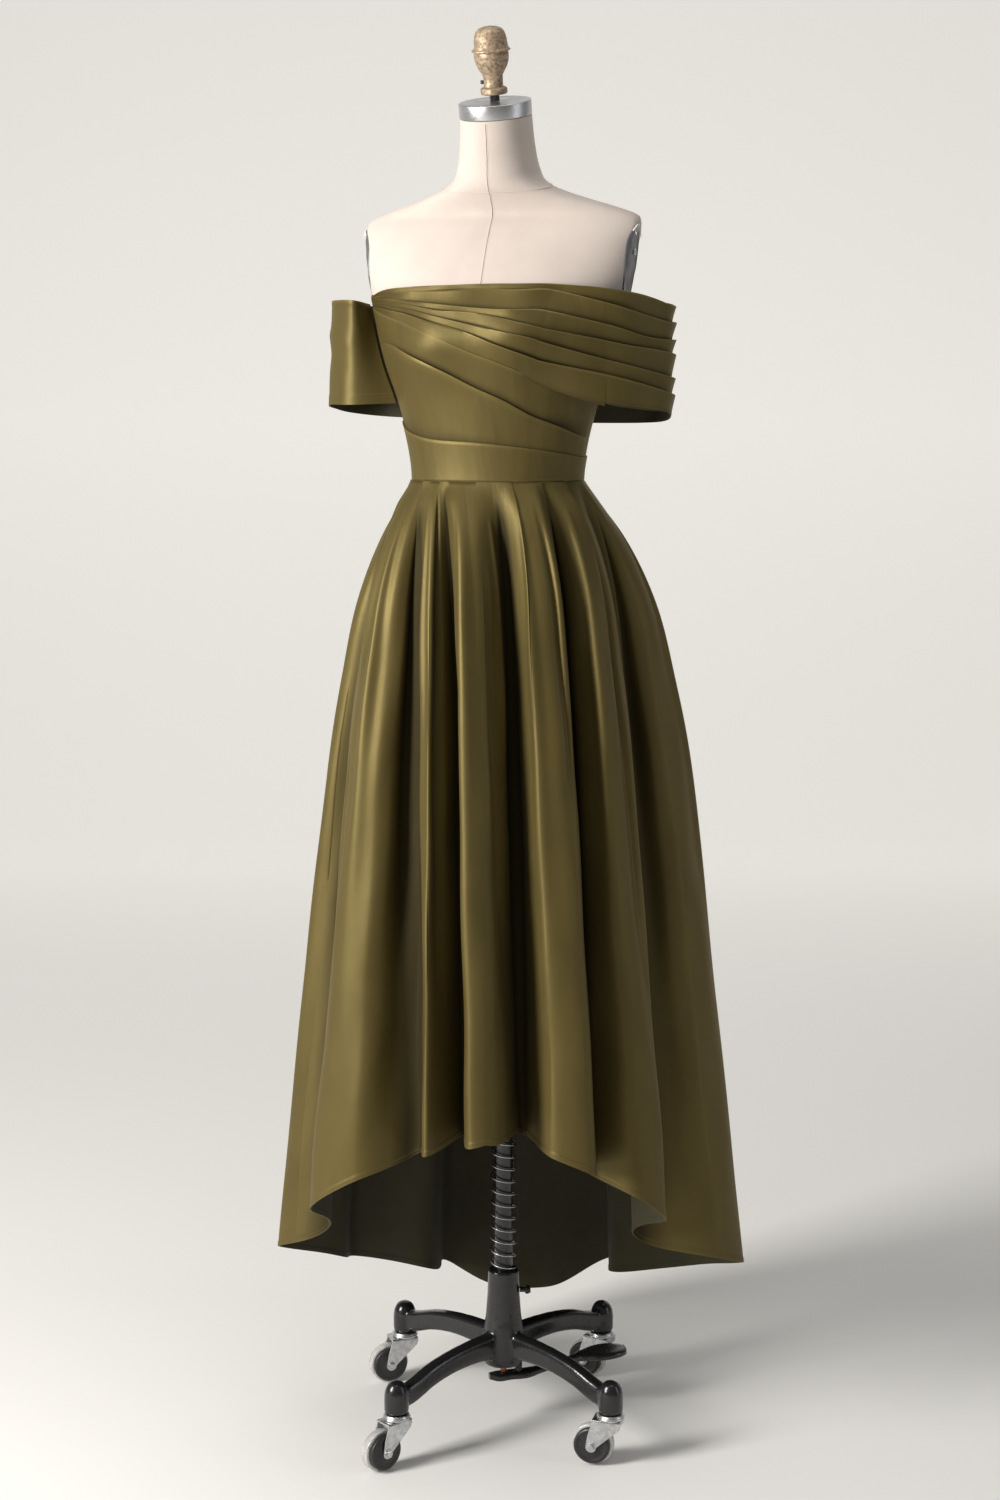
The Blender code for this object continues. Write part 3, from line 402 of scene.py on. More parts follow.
@dataclass(frozen=True)
class Backdrop(Finish):
    """Pale paper with a painted glow, in place of the light on it, that rises the further it lies behind
    the dress.
    """

    turn: float = 0.0
    near: float = 0.5
    far: float = 4.2

    def detail(self, graph: Graph) -> dict[str, Wire]:
        """The glow, rising away from the camera."""
        split = graph.add("ShaderNodeSeparateXYZ", None, {"Vector": graph.coordinates("Object")})
        across = Wire(graph, split.socket.node.outputs["Y"])
        away = across * math.cos(self.turn) - split * math.sin(self.turn)
        share = graph.ramp(away, self.near, self.far)
        return {"Emission Color": graph.mix(share, (0.10, 0.098, 0.094), (0.95, 0.925, 0.875))}


SATIN = Satin("olive satin", (0.088, 0.066, 0.0205), 0.46, 0.38, (
    ("Specular Tint", (0.95, 0.82, 0.50, 1.0)), ("Sheen Weight", 0.03), ("Sheen Roughness", 0.35),
    ("Sheen Tint", (0.82, 0.74, 0.50, 1.0)), ("Specular IOR Level", 0.45), ("Anisotropic", 0.40)))
# The satin's inner face: duller, as satin's reverse is, and darkened as painted shade for the inside of the
# dress.
REVERSE_SHADED = Satin("olive satin reverse", (0.036, 0.031, 0.013), 0.66, 0.0, (
    ("Sheen Weight", 0.05), ("Sheen Roughness", 0.5), ("Specular IOR Level", 0.25)))
THREAD = Satin("olive thread", (0.17, 0.14, 0.06), 0.55, 0.0)
JERSEY = Jersey("cream jersey", (0.53, 0.456, 0.406), 0.85, 0.0, (
    ("Sheen Weight", 0.12), ("Sheen Roughness", 0.5)))
TAPE = Jersey("cream tape", (0.74, 0.70, 0.64), 0.9, 0.0)
PLATE = WornMetal("grey plate", (0.135, 0.138, 0.142), 0.46, 0.3, (), grain=45.0)
STEEL = WornMetal("brushed steel", (0.60, 0.60, 0.61), 0.30, 1.0, (("Anisotropic", 0.4),),
                  marks=(20.0, 20.0, 2600.0), grain=40.0, dull=0.12, shade=0.9)
BRONZE = WornMetal("aged bronze", (0.46, 0.34, 0.225), 0.50, 0.35, (), grain=230.0,
                   depth=0.0007, dull=0.25, shade=0.42)
IRON = WornMetal("gloss black iron", (0.011, 0.011, 0.012), 0.24, 0.0, (
    ("Coat Weight", 0.35), ("Coat Roughness", 0.12), ("Specular IOR Level", 0.35)),
    grain=75.0, depth=0.0002, dull=0.10)
TUBE = WornMetal("black tube", (0.010, 0.010, 0.011), 0.26, 0.0, (("Coat Weight", 0.3),),
                 marks=(900.0, 900.0, 24.0), grain=50.0, depth=0.00008, dull=0.16)
ZINC = WornMetal("zinc plate", (0.62, 0.63, 0.64), 0.30, 1.0, (), grain=130.0, dull=0.2)
CORE = WornMetal("black core", (0.016, 0.016, 0.017), 0.38, 0.0, (), grain=90.0)
TREAD = WornMetal("clear tread", (0.78, 0.77, 0.74), 0.14, 0.0, (
    ("Transmission Weight", 0.55), ("IOR", 1.46)), grain=120.0, dull=0.2, shade=0.85)
COPPER = WornMetal("copper red", (0.36, 0.10, 0.06), 0.36, 0.75, (), grain=160.0)


# Meshes


def mesh_piece(name: str, points: np.ndarray, faces: Sequence[Sequence[int]],
               finishes: Sequence[Finish], smooth: float = 40.0, uv: np.ndarray | None = None,
               slots: np.ndarray | None = None, outward: bool = False) -> bpy.types.Object:
    """Makes a mesh object about the pole's axis.

    Args:
        name: the piece's name.
        points: its vertices about the pole's axis.
        faces: vertex numbers of each face.
        finishes: its finishes, in slot order.
        smooth: edges sharper than this many degrees stay sharp.
        uv: cloth coordinates in metres, one for each vertex.
        slots: the finish number of each face.
        outward: whether the faces are turned outwards here.

    Returns:
        The new object.
    """
    mesh = bpy.data.meshes.new(name)
    places = np.asarray(points, float) + POLE
    mesh.from_pydata(places.tolist(), [], [tuple(int(v) for v in face) for face in faces])
    if slots is not None:
        mesh.polygons.foreach_set("material_index", np.asarray(slots, np.int32))
    if uv is not None:
        layer = mesh.uv_layers.new(name="cloth")
        corners = np.empty(len(mesh.loops), np.int32)
        mesh.loops.foreach_get("vertex_index", corners)
        layer.data.foreach_set("uv", np.asarray(uv, np.float32)[corners].ravel())
    if outward:
        turn_outward(mesh)
    for finish in finishes:
        mesh.materials.append(finish.material())
    smoothed(mesh, smooth)
    return linked(name, mesh)


def linked(name: str, data: bpy.types.ID) -> bpy.types.Object:
    """A new object of the scene that shows some data."""
    made = bpy.data.objects.new(name, data)
    bpy.context.scene.collection.objects.link(made)
    return made


def smoothed(mesh: bpy.types.Mesh, sharp: float) -> None:
    """Shades a mesh smooth but for the edges that are sharper than some degrees."""
    mesh.shade_smooth()
    mesh.set_sharp_from_angle(angle=math.radians(sharp))


def dressed(piece: bpy.types.Object, finish: Finish) -> bpy.types.Object:
    """The piece in one finish alone."""
    piece.data.materials.clear()
    piece.data.materials.append(finish.material())
    return piece


def turn_outward(mesh: bpy.types.Mesh) -> None:
    """Turns the faces of a closed mesh outwards."""
    body = bmesh.new()
    body.from_mesh(mesh)
    bmesh.ops.recalc_face_normals(body, faces=body.faces)
    if body.calc_volume(signed=True) < 0:
        bmesh.ops.reverse_faces(body, faces=body.faces)
    body.to_mesh(mesh)
    body.free()


def circle(radius: float, height: float, segments: int) -> np.ndarray:
    """A level ring of points about Z."""
    turn = 2 * math.pi * np.arange(segments) / segments
    return np.stack([radius * np.cos(turn), radius * np.sin(turn), np.full(segments, height)], -1)


def loft_faces(levels: int, count: int, ring: bool = False) -> list[tuple[int, ...]]:
    """Faces through rings of points, closed on themselves as a ring or else by two caps."""
    faces: list[tuple[int, ...]] = []
    for level in range(levels if ring else levels - 1):
        low, high = level * count, (level + 1) % levels * count
        for step in range(count):
            after = (step + 1) % count
            faces.append((low + step, low + after, high + after, high + step))
    if not ring:
        faces.append(tuple(range(count))[::-1])
        faces.append(tuple((levels - 1) * count + step for step in range(count)))
    return faces


def rounded(rows: Sequence[tuple[float, float]], radius: float,
            steps: int = 3) -> list[tuple[float, float]]:
    """An outline of height and radius with its corners eased.

    Args:
        rows: the corners in order, the first and last kept.
        radius: how far each corner is cut back.
        steps: points for each eased corner.

    Returns:
        The eased outline.
    """
    points = [np.array(row, float) for row in rows]
    eased = [tuple(points[0])]
    for before, corner, after in zip(points, points[1:], points[2:]):
        back, ahead = before - corner, after - corner
        cut = min(radius, min(np.linalg.norm(back), np.linalg.norm(ahead)) * 0.45)
        start, end = corner + unit(back) * cut, corner + unit(ahead) * cut
        for share in np.linspace(0, 1, steps):
            left = 1 - share
            eased.append(tuple(left**2 * start + 2 * share * left * corner + share**2 * end))
    eased.append(tuple(points[-1]))
    return eased


@dataclass(frozen=True)
class Guide:
    """A local frame: where it stands about the pole's axis and how it is turned."""

    origin: tuple[float, float, float] = (0.0, 0.0, 0.0)
    turn: float = 0.0
    tilt: float = 0.0
    roll: float = 0.0

    def place(self, points: np.ndarray) -> np.ndarray:
        """Points of the local frame, about the pole's axis."""
        matrix = (Matrix.Rotation(self.turn, 3, "Z") @ Matrix.Rotation(self.tilt, 3, "X")
                  @ Matrix.Rotation(self.roll, 3, "Y"))
        return np.asarray(points, float) @ np.array(matrix).T + np.array(self.origin)

    def lathe(self, name: str, rows: Sequence[tuple[float, float]], finish: Finish,
              segments: int = 64, ring: bool = False, smooth: float = 35.0) -> bpy.types.Object:
        """A piece turned about this frame's Z axis.

        Args:
            name: the piece's name.
            rows: its outline as height and radius.
            finish: its finish.
            segments: sides round the axis.
            ring: whether the outline closes on itself, round a bore.
            smooth: edges sharper than this stay sharp.

        Returns:
            The new object.
        """
        rings = [circle(radius, height, segments) for height, radius in rows]
        faces = loft_faces(len(rings), segments, ring)
        return mesh_piece(name, self.place(np.concatenate(rings)), faces, [finish], smooth,
                          outward=True)


def keep(piece: bpy.types.Object, body: str, slot: str, *nodes: str) -> bpy.types.Object:
    """Rides a piece on its body and hides the imported parts that it stands for."""
    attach(piece, body)
    if nodes:
        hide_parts(*nodes)
    log.info("%s on %s, %d faces", piece.name, body, len(piece.data.polygons))
    return piece


def applied(obj: bpy.types.Object, name: str) -> bpy.types.Object:
    """A plain mesh object of what an object's modifiers make; the object itself is removed."""
    bpy.context.view_layer.update()
    graph = bpy.context.evaluated_depsgraph_get()
    mesh = bpy.data.meshes.new_from_object(obj.evaluated_get(graph), depsgraph=graph)
    materials = [slot.material for slot in obj.material_slots if slot.material]
    bpy.data.objects.remove(obj)
    mesh.name = name
    if not mesh.materials:
        for found in materials:
            mesh.materials.append(found)
    return linked(name, mesh)


def shaped(piece: bpy.types.Object, name: str, kind: str, **settings: object) -> bpy.types.Object:
    """What one modifier makes of a piece.

    Args:
        piece: the object, which is used up.
        name: the result's name.
        kind: the modifier's type.
        settings: the modifier's values, in the order in which they are set.

    Returns:
        A plain mesh object.
    """
    modifier = piece.modifiers.new(name, kind)
    for label, value in settings.items():
        setattr(modifier, label, value)
    return applied(piece, name)


def joined(pieces: Sequence[bpy.types.Object], name: str, soft: bool = False) -> bpy.types.Object:
    """Several mesh objects as one, without a sharp edge when soft."""
    body = bmesh.new()
    materials: list[bpy.types.Material] = []
    for piece in pieces:
        found = piece.data.materials[0]
        if found not in materials:
            materials.append(found)
        before = len(body.faces)
        body.from_mesh(piece.data)
        body.faces.ensure_lookup_table()
        for face in body.faces[before:]:
            face.material_index = materials.index(found)
    mesh = bpy.data.meshes.new(name)
    body.to_mesh(mesh)
    body.free()
    for found in materials:
        mesh.materials.append(found)
    for piece in pieces:
        bpy.data.objects.remove(piece)
    if soft:
        mesh.shade_smooth()
    return linked(name, mesh)


# Geometry Nodes


class Pattern:
    """A Geometry Nodes tree with named inputs, run on a mesh and turned into a plain mesh."""

    def __init__(self, name: str, sizes: dict[str, float | int]) -> None:
        """Starts a tree.

        Args:
            name: the tree's name.
            sizes: its inputs by name, whole numbers as whole-number inputs.
        """
        self.tree = bpy.data.node_groups.new(name, "GeometryNodeTree")
        self.graph = Graph(self.tree)
        face = self.tree.interface
        face.new_socket(name="Geometry", in_out="INPUT", socket_type="NodeSocketGeometry")
        self.keys: dict[str, str] = {}
        for label, value in sizes.items():
            kind = "NodeSocketInt" if isinstance(value, int) else "NodeSocketFloat"
            socket = face.new_socket(name=label, in_out="INPUT", socket_type=kind)
            self.keys[label] = socket.identifier
        socket = face.new_socket(name="Finish", in_out="INPUT", socket_type="NodeSocketMaterial")
        self.keys["Finish"] = socket.identifier
        face.new_socket(name="Geometry", in_out="OUTPUT", socket_type="NodeSocketGeometry")
        self.sizes = sizes
        self.source = self.tree.nodes.new("NodeGroupInput")

    def given(self, label: str) -> Wire:
        """One of the tree's inputs."""
        return Wire(self.graph, self.source.outputs[label])

    def close(self, points: Wire, shape: Wire, **more: Wire) -> "Pattern":
        """Ends the tree in realised instances with the finish set.

        Args:
            points: where the shape stands.
            shape: what is repeated.
            more: its rotation and scale.

        Returns:
            The pattern itself.
        """
        placed = self.graph.add("GeometryNodeInstanceOnPoints", None,
                                {"Points": points, "Instance": shape, **more})
        real = self.graph.add("GeometryNodeRealizeInstances", None, {"Geometry": placed})
        smooth = self.graph.add("GeometryNodeSetShadeSmooth", None, {"Geometry": real})
        done = self.graph.add("GeometryNodeSetMaterial", None,
                              {"Geometry": smooth, "Material": self.given("Finish")})
        out = self.tree.nodes.new("NodeGroupOutput")
        self.tree.links.new(done.socket, out.inputs[0])
        return self

    def run(self, name: str, points: np.ndarray, edges: Sequence[tuple[int, int]],
            finish: Finish, **sizes: float) -> bpy.types.Object:
        """Runs the tree on a line of points.

        Args:
            name: the new piece's name.
            points: vertices about the pole's axis.
            edges: pairs of vertex numbers.
            finish: the result's finish.
            sizes: inputs that differ from the tree's own.

        Returns:
            The result as a plain mesh object.
        """
        mesh = bpy.data.meshes.new(name + "_guide")
        mesh.from_pydata((np.asarray(points, float) + POLE).tolist(), list(edges), [])
        obj = linked(name + "_guide", mesh)
        modifier = obj.modifiers.new(self.tree.name, "NODES")
        modifier.node_group = self.tree
        for label, value in (self.sizes | sizes).items():
            modifier[self.keys[label]] = value
        modifier[self.keys["Finish"]] = finish.material()
        return dressed(applied(obj, name), finish)


def stitch_pattern() -> Pattern:
    """Short thread stitches, evenly spaced along a line."""
    made = Pattern("stitches", {"Spacing": 0.0032, "Length": 0.0023, "Radius": 0.00022})
    graph = made.graph
    curve = graph.add("GeometryNodeMeshToCurve", None, {"Mesh": made.given("Geometry")})
    spaced = graph.add("GeometryNodeResampleCurve", {"mode": "LENGTH"},
                       {"Curve": curve, "Length": made.given("Spacing")})
    ball = graph.add("GeometryNodeMeshIcoSphere", None, {"Radius": 1.0, "Subdivisions": 1})
    size = graph.add("ShaderNodeCombineXYZ", None, {
        "X": made.given("Length") * 0.5, "Y": made.given("Radius"), "Z": made.given("Radius")})
    tangent = graph.add("GeometryNodeInputTangent")
    turn = graph.add("FunctionNodeAlignRotationToVector", {"axis": "X"}, {"Vector": tangent})
    return made.close(spaced, ball, Rotation=turn, Scale=size)


def coil_pattern() -> Pattern:
    """A coil spring wound upwards from a point."""
    made = Pattern("coil", {"Turns": 13.0, "Radius": 0.018, "Height": 0.247, "Wire": 0.0012,
                            "Steps": 48, "Sides": 8})
    graph = made.graph
    spiral = graph.add("GeometryNodeCurveSpiral", None, {
        "Resolution": made.given("Steps"), "Rotations": made.given("Turns"),
        "Start Radius": made.given("Radius"), "End Radius": made.given("Radius"),
        "Height": made.given("Height")})
    section = graph.add("GeometryNodeCurvePrimitiveCircle", None, {
        "Resolution": made.given("Sides"), "Radius": made.given("Wire")})
    wire = graph.add("GeometryNodeCurveToMesh", None, {
        "Curve": spiral, "Profile Curve": section, "Fill Caps": True})
    return made.close(made.given("Geometry"), wire)


def rib_pattern() -> Pattern:
    """Rounded ribs across a tread, one on each guide point, as long as the point's reach."""
    made = Pattern("ribs", {"Length": 0.040, "Radius": 0.0011, "Turn": 0.0})
    graph = made.graph
    ball = graph.add("GeometryNodeMeshIcoSphere", None, {"Radius": 1.0, "Subdivisions": 2})
    reach = graph.add("GeometryNodeInputNamedAttribute", {"data_type": "FLOAT"}, {"Name": "reach"})
    size = graph.add("ShaderNodeCombineXYZ", None, {
        "X": made.given("Radius"), "Y": made.given("Length") * reach * 0.5, "Z": made.given("Radius")})
    turn = graph.add("ShaderNodeCombineXYZ", None, {"Z": made.given("Turn")})
    return made.close(made.given("Geometry"), ball, Rotation=turn, Scale=size)


# The form's shape

TORSO = Table(("z", "half_width", "front", "back", "centre_y"), (
    (1.165, 0.142, 0.100, 0.115, -0.029),
    (1.220, 0.150, 0.106, 0.118, -0.029),
    (1.300, 0.142, 0.104, 0.108, -0.029),
    (1.360, 0.127, 0.096, 0.097, -0.029),
    (1.402, 0.1205, 0.0925, 0.0925, -0.029),
    (1.450, 0.1255, 0.096, 0.093, -0.028),
    (1.510, 0.1410, 0.106, 0.096, -0.026),
    (1.560, 0.1600, 0.108, 0.098, -0.024),
    (1.600, 0.1720, 0.104, 0.099, -0.023),
    (1.640, 0.1820, 0.095, 0.096, -0.021),
    (1.680, 0.1920, 0.084, 0.090, -0.018),
    (1.720, 0.2000, 0.071, 0.080, -0.012),
    (1.748, 0.2030, 0.058, 0.068, -0.006),
    (1.764, 0.1900, 0.050, 0.058, -0.003),
    (1.775, 0.1600, 0.052, 0.056, -0.005),
    (1.786, 0.1240, 0.056, 0.055, -0.009),
    (1.797, 0.0910, 0.060, 0.054, -0.014),
    (1.810, 0.0670, 0.061, 0.054, -0.018),
    (1.830, 0.0570, 0.056, 0.053, -0.023),
    (1.860, 0.0520, 0.052, 0.051, -0.030),
    (1.897, 0.0496, 0.050, 0.049, -0.037),
))
BUST = {"x": 0.062, "z": 1.592, "width": 0.062, "height": 0.052, "depth": 0.030}
ARMHOLE = {"x": 0.171, "z": 1.600, "lean": 0.155, "lowest": 1.545, "middle": 1.690}
NECK = {"tilt": math.radians(15.0), "from": 1.830, "top": 1.897}


def arm_side(z: np.ndarray | float) -> np.ndarray | float:
    """How far the flat side of an arm opening stands from the middle at some height."""
    return ARMHOLE["x"] + ARMHOLE["lean"] * (z - ARMHOLE["z"])


def torso_point(angle: np.ndarray | float, z: np.ndarray | float,
                offset: np.ndarray | float = 0.0) -> np.ndarray:
    """Points of the form's surface.

    Args:
        angle: plan angles in degrees.
        z: heights.
        offset: how far the points stand out from the surface, level.

    Returns:
        Points about the pole's axis.
    """
    angle, z, offset = np.broadcast_arrays(np.radians(np.asarray(angle, float)),
                                           np.asarray(z, float), np.asarray(offset, float))
    half, front, back, centre = np.moveaxis(TORSO.at(z), -1, 0)
    sine, cosine = np.sin(angle), np.cos(angle)
    depth = np.where(cosine > 0, front, back)
    x = half * sine
    y = centre - depth * cosine
    for side in (-1, 1):
        away = ((x - side * BUST["x"]) / BUST["width"]) ** 2
        away = away + ((z - BUST["z"]) / BUST["height"]) ** 2
        y = y - BUST["depth"] * np.exp(-away) * np.clip(cosine, 0, 1) ** 0.5
    normal_x, normal_y = depth * sine, -half * cosine
    length = np.hypot(normal_x, normal_y)
    x = x + offset * normal_x / length
    y = y + offset * normal_y / length
    reach = arm_side(z) + offset
    x = np.where(z > ARMHOLE["lowest"], np.clip(x, -reach, reach), x)
    return np.stack([x, y, z], axis=-1)


def neck_tilted(points: np.ndarray) -> np.ndarray:
    """Leans points of the neck forward, more the higher they are."""
    share = np.clip((points[..., 2] - NECK["from"]) / (NECK["top"] - NECK["from"]), 0, 1)
    lifted = points.copy()
    centre = TORSO.at(points[..., 2], "centre_y")
    lifted[..., 2] += share * math.tan(NECK["tilt"]) * (points[..., 1] - centre)
    return lifted


@dataclass
class DressForm:
    """The covered body of the form, its plates, cap and finial."""

    columns: int = 180
    rings: int = 190
    seam: float = 0.00055
    rise: float = 0.0001
    cap_radius: float = 0.0500
    cap_height: float = 0.0200
    plate_reach: tuple[float, float] = (0.027, 0.060)
    plate_middle: float = -0.016
    screw_z: float = 1.713
    finial: tuple[tuple[float, float], ...] = (
        (0.0090, 0.0150), (0.0098, 0.0182), (0.0112, 0.0186), (0.0170, 0.0186), (0.0184, 0.0172),
        (0.0194, 0.0142), (0.0215, 0.0136), (0.0300, 0.0133), (0.0345, 0.0142), (0.0400, 0.0170),
        (0.0460, 0.0206), (0.0520, 0.0228), (0.0590, 0.0238), (0.0640, 0.0240), (0.0648, 0.0236),
        (0.0656, 0.0258), (0.0666, 0.0270), (0.0684, 0.0268), (0.0692, 0.0252), (0.0706, 0.0240),
        (0.0740, 0.0232), (0.0810, 0.0225), (0.0870, 0.0214), (0.0920, 0.0194), (0.0958, 0.0160),
        (0.0980, 0.0110), (0.0989, 0.0050))

    def build(self, stitches: Pattern) -> None:
        """Builds every piece of the form."""
        self.torso()
        self.seams(stitches)
        self.plates()
        self.top()

    def torso(self) -> None:
        """The jersey-covered body."""
        angles = np.linspace(0, 360, self.columns, endpoint=False)
        heights = np.linspace(TORSO.rows[0][0], TORSO.rows[-1][0], self.rings)
        points = neck_tilted(torso_point(angles[None, :], heights[:, None], -0.0002))
        piece = mesh_piece("jersey_body", points.reshape(-1, 3),
                           loft_faces(self.rings, self.columns), [JERSEY], 55.0, outward=True)
        keep(piece, "form", "cream_jersey", "form_torso")

    def seams(self, stitches: Pattern) -> None:
        """Centre-front, centre-back, neck and shoulder seams as fine rolled lines."""
        z = np.linspace(1.20, 1.893, 150)
        turn = np.linspace(0, 360, 121)
        base = 1.792 + 0.026 * (1 - np.cos(np.radians(turn))) / 2
        lines = [neck_tilted(torso_point(angle, height, self.rise))
                 for angle, height in ((0.0, z), (180.0, z), (turn, base))]
        shoulder = np.linspace(1.7475, 1.800, 40)
        for side in (-1, 1):
            lines.append(torso_point(side * np.linspace(88, 96, 40), shoulder, self.rise))
        pieces = [cord_mesh(f"form_seam_{number}", line, self.seam, JERSEY, 6)
                  for number, line in enumerate(lines)]
        keep(joined(pieces, "form_seams", soft=True), "form", "cream_jersey")
        edges, points = chains(lines[:3], 0.0022)
        keep(stitches.run("form_stitches", points, edges, TAPE, Spacing=0.0036, Length=0.0024),
             "form", "cream_jersey")

    def plates(self) -> None:
        """Oval plates in the arm openings, with a bevelled edge, a screw hole and a frayed tape."""
        lean = math.atan(ARMHOLE["lean"])
        across, along = self.plate_reach
        turn = 2 * math.pi * np.arange(96) / 96
        for name, side in (("left", 1), ("right", -1)):
            rings = []
            for out, inset in ((0.0005, 0.0), (0.0012, 0.0), (0.0017, 0.0006), (0.0018, 0.004),
                               (0.0014, 0.0048), (0.0014, 0.012)):
                up = (along - inset) * np.sin(turn) * math.cos(lean)
                y = self.plate_middle + (across - inset) * np.cos(turn)
                x = self.side_reach(y, ARMHOLE["middle"] + up) + out
                rings.append(np.stack([side * x, y, ARMHOLE["middle"] + up], axis=-1))
            piece = mesh_piece(f"plate_{name}", np.concatenate(rings), loft_faces(6, 96), [PLATE],
                               35.0, outward=True)
            keep(piece, "form", "grey_plate", f"arm_plate_{name}")
            x = arm_side(self.screw_z) + 0.0018
            guide = Guide((side * x, -0.012, self.screw_z), 0.0, 0.0, side * math.pi / 2)
            rows = rounded(((0.0, 0.0048), (0.0012, 0.0048), (0.0012, 0.0026), (-0.0004, 0.0026)), 0.0004)
            keep(guide.lathe(f"plate_eyelet_{name}", rows, ZINC, 32, ring=True), "form", "grey_plate")
            self.tape(name, side)

    @staticmethod
    def side_reach(y: np.ndarray, z: np.ndarray) -> np.ndarray:
        """How far the form's side reaches out at places on it."""
        half, front, back, centre = np.moveaxis(TORSO.at(z), -1, 0)
        share = (y - centre) / np.where(y < centre, front, back)
        curved = half * np.sqrt(np.clip(1 - share**2, 0, 1))
        return np.minimum(curved, arm_side(z))

    def tape(self, name: str, side: int) -> None:
        """A frayed cotton tape along the top of the plate, with loose thread ends."""
        turn = np.linspace(math.radians(58), math.radians(122), 40)
        random = np.random.default_rng(11 + side)
        steps = np.linspace(0, 1, 6)[:, None]
        pieces = []
        for number in range(30):
            start = self.on_plate(random.uniform(turn[0], turn[-1]), side)
            reach = random.uniform(0.004, 0.009)
            drift = random.uniform(-0.0022, 0.0022, 2)
            line = start + steps * np.array([side * 0.0012, drift[0], -reach])
            line = line + steps**2 * np.array([side * 0.0012, drift[1], 0.0])
            pieces.append(cord_mesh(f"fray_{number}", line, 0.00022, TAPE, 4))
        line = np.array([self.on_plate(t, side) for t in turn])
        pieces.append(cord_mesh("tape_edge", line, 0.0011, TAPE, 8))
        keep(joined(pieces, f"plate_tape_{name}", soft=True), "form", "cream_jersey")

    def on_plate(self, turn: float, side: int) -> np.ndarray:
        """A point a millimetre inside the plate's rim."""
        across, along = (reach - 0.001 for reach in self.plate_reach)
        y, z = self.plate_middle + across * math.cos(turn), ARMHOLE["middle"] + along * math.sin(turn)
        x = float(self.side_reach(np.array(y), np.array(z))) + 0.0022
        return np.array([side * x, y, z])

    def top(self) -> None:
        """Cap, nut, finial and the small screw in the finial."""
        guide = Guide((0.0, TORSO.rows[-1][4], NECK["top"]), 0.0, NECK["tilt"])
        radius, height = self.cap_radius, self.cap_height
        rows = rounded(((0.0006, radius - 0.002), (0.0006, radius), (height, radius),
                        (height, 0.0400), (height - 0.0004, 0.0390), (height - 0.0004, 0.010)), 0.0012, 4)
        keep(guide.lathe("cap", rows, STEEL, 96), "form", "brushed_steel", "neck_cap")
        nut = [(height + 0.0003, 0.0070), (height + 0.0087, 0.0070)]
        keep(guide.lathe("nut", nut, IRON, 6, smooth=20.0), "form", "black_iron", "finial_nut")
        rows = [(height + z, r) for z, r in self.finial]
        piece = guide.lathe("hammered_finial", rounded(rows, 0.0006, 3), BRONZE, 72, smooth=50.0)
        self.hammer(piece.data)
        keep(piece, "form", "aged_bronze", "finial")
        screw = Guide(tuple(guide.place(np.array([-0.0128, -0.003, height + 0.026]))), 0.0,
                      0.0, -math.pi / 2)
        rows = rounded(((0.0, 0.0026), (0.0042, 0.0026), (0.0046, 0.0010)), 0.0006)
        keep(screw.lathe("finial_screw", rows, IRON, 24), "form", "aged_bronze")

    @staticmethod
    def hammer(mesh: bpy.types.Mesh) -> None:
        """Presses small dimples into a turned piece."""
        points = np.empty(len(mesh.vertices) * 3, np.float32)
        normals = np.empty(len(mesh.vertices) * 3, np.float32)
        mesh.vertices.foreach_get("co", points)
        mesh.vertices.foreach_get("normal", normals)
        points, normals = points.reshape(-1, 3), normals.reshape(-1, 3)
        random = np.random.default_rng(5)
        for centre in points[random.choice(len(points), 170, replace=False)]:
            away = np.sum((points - centre) ** 2, axis=1)
            width = random.uniform(0.0018, 0.0042)
            points = points - normals * (random.uniform(0.0002, 0.0006) * np.exp(-away / width**2))[:, None]
        mesh.vertices.foreach_set("co", points.astype(np.float32).ravel())
        mesh.update()


def cord_mesh(name: str, line: np.ndarray, radius: float, finish: Finish, sides: int) -> bpy.types.Object:
    """A round strand along a line of points.

    Args:
        name: the piece's name.
        line: points about the pole's axis.
        radius: the strand's radius.
        finish: its finish.
        sides: its sides.

    Returns:
        The new object.
    """
    line = np.asarray(line, float)
    along = unit(np.gradient(line, axis=0))
    side = np.cross(along, UP)
    flat = np.linalg.norm(side, axis=1, keepdims=True)
    side = np.where(flat > 1e-4, side / np.maximum(flat, 1e-4), np.array([1.0, 0.0, 0.0]))
    other = np.cross(side, along)
    turn = (2 * math.pi * np.arange(sides) / sides)[None, :, None]
    ring = side[:, None, :] * np.cos(turn) + other[:, None, :] * np.sin(turn)
    points = (line[:, None, :] + radius * ring).reshape(-1, 3)
    return mesh_piece(name, points, loft_faces(len(line), sides), [finish], 60.0, outward=True)


def chains(lines: Iterable[np.ndarray], beside: float = 0.0) -> tuple[list[tuple[int, int]], np.ndarray]:
    """Lines of points as one edge mesh.

    Args:
        lines: rows of points.
        beside: how far the lines are moved sideways along the surface, level.

    Returns:
        Vertex pairs and the points.
    """
    edges: list[tuple[int, int]] = []
    points: list[np.ndarray] = []
    total = 0
    for line in lines:
        moved = np.array(line, float)
        if beside:
            along = np.gradient(moved, axis=0)
            steep = np.abs(along[:, 2]) > np.linalg.norm(along[:, :2], axis=1)
            away = unit(moved[:, :2])
            side = np.stack([-away[:, 1], away[:, 0], np.zeros(len(moved))], axis=1)
            moved = moved + beside * np.where(steep[:, None], side, UP)
        edges += [(total + step, total + step + 1) for step in range(len(moved) - 1)]
        points.append(moved)
        total += len(moved)
    return edges, np.concatenate(points)


# The dress

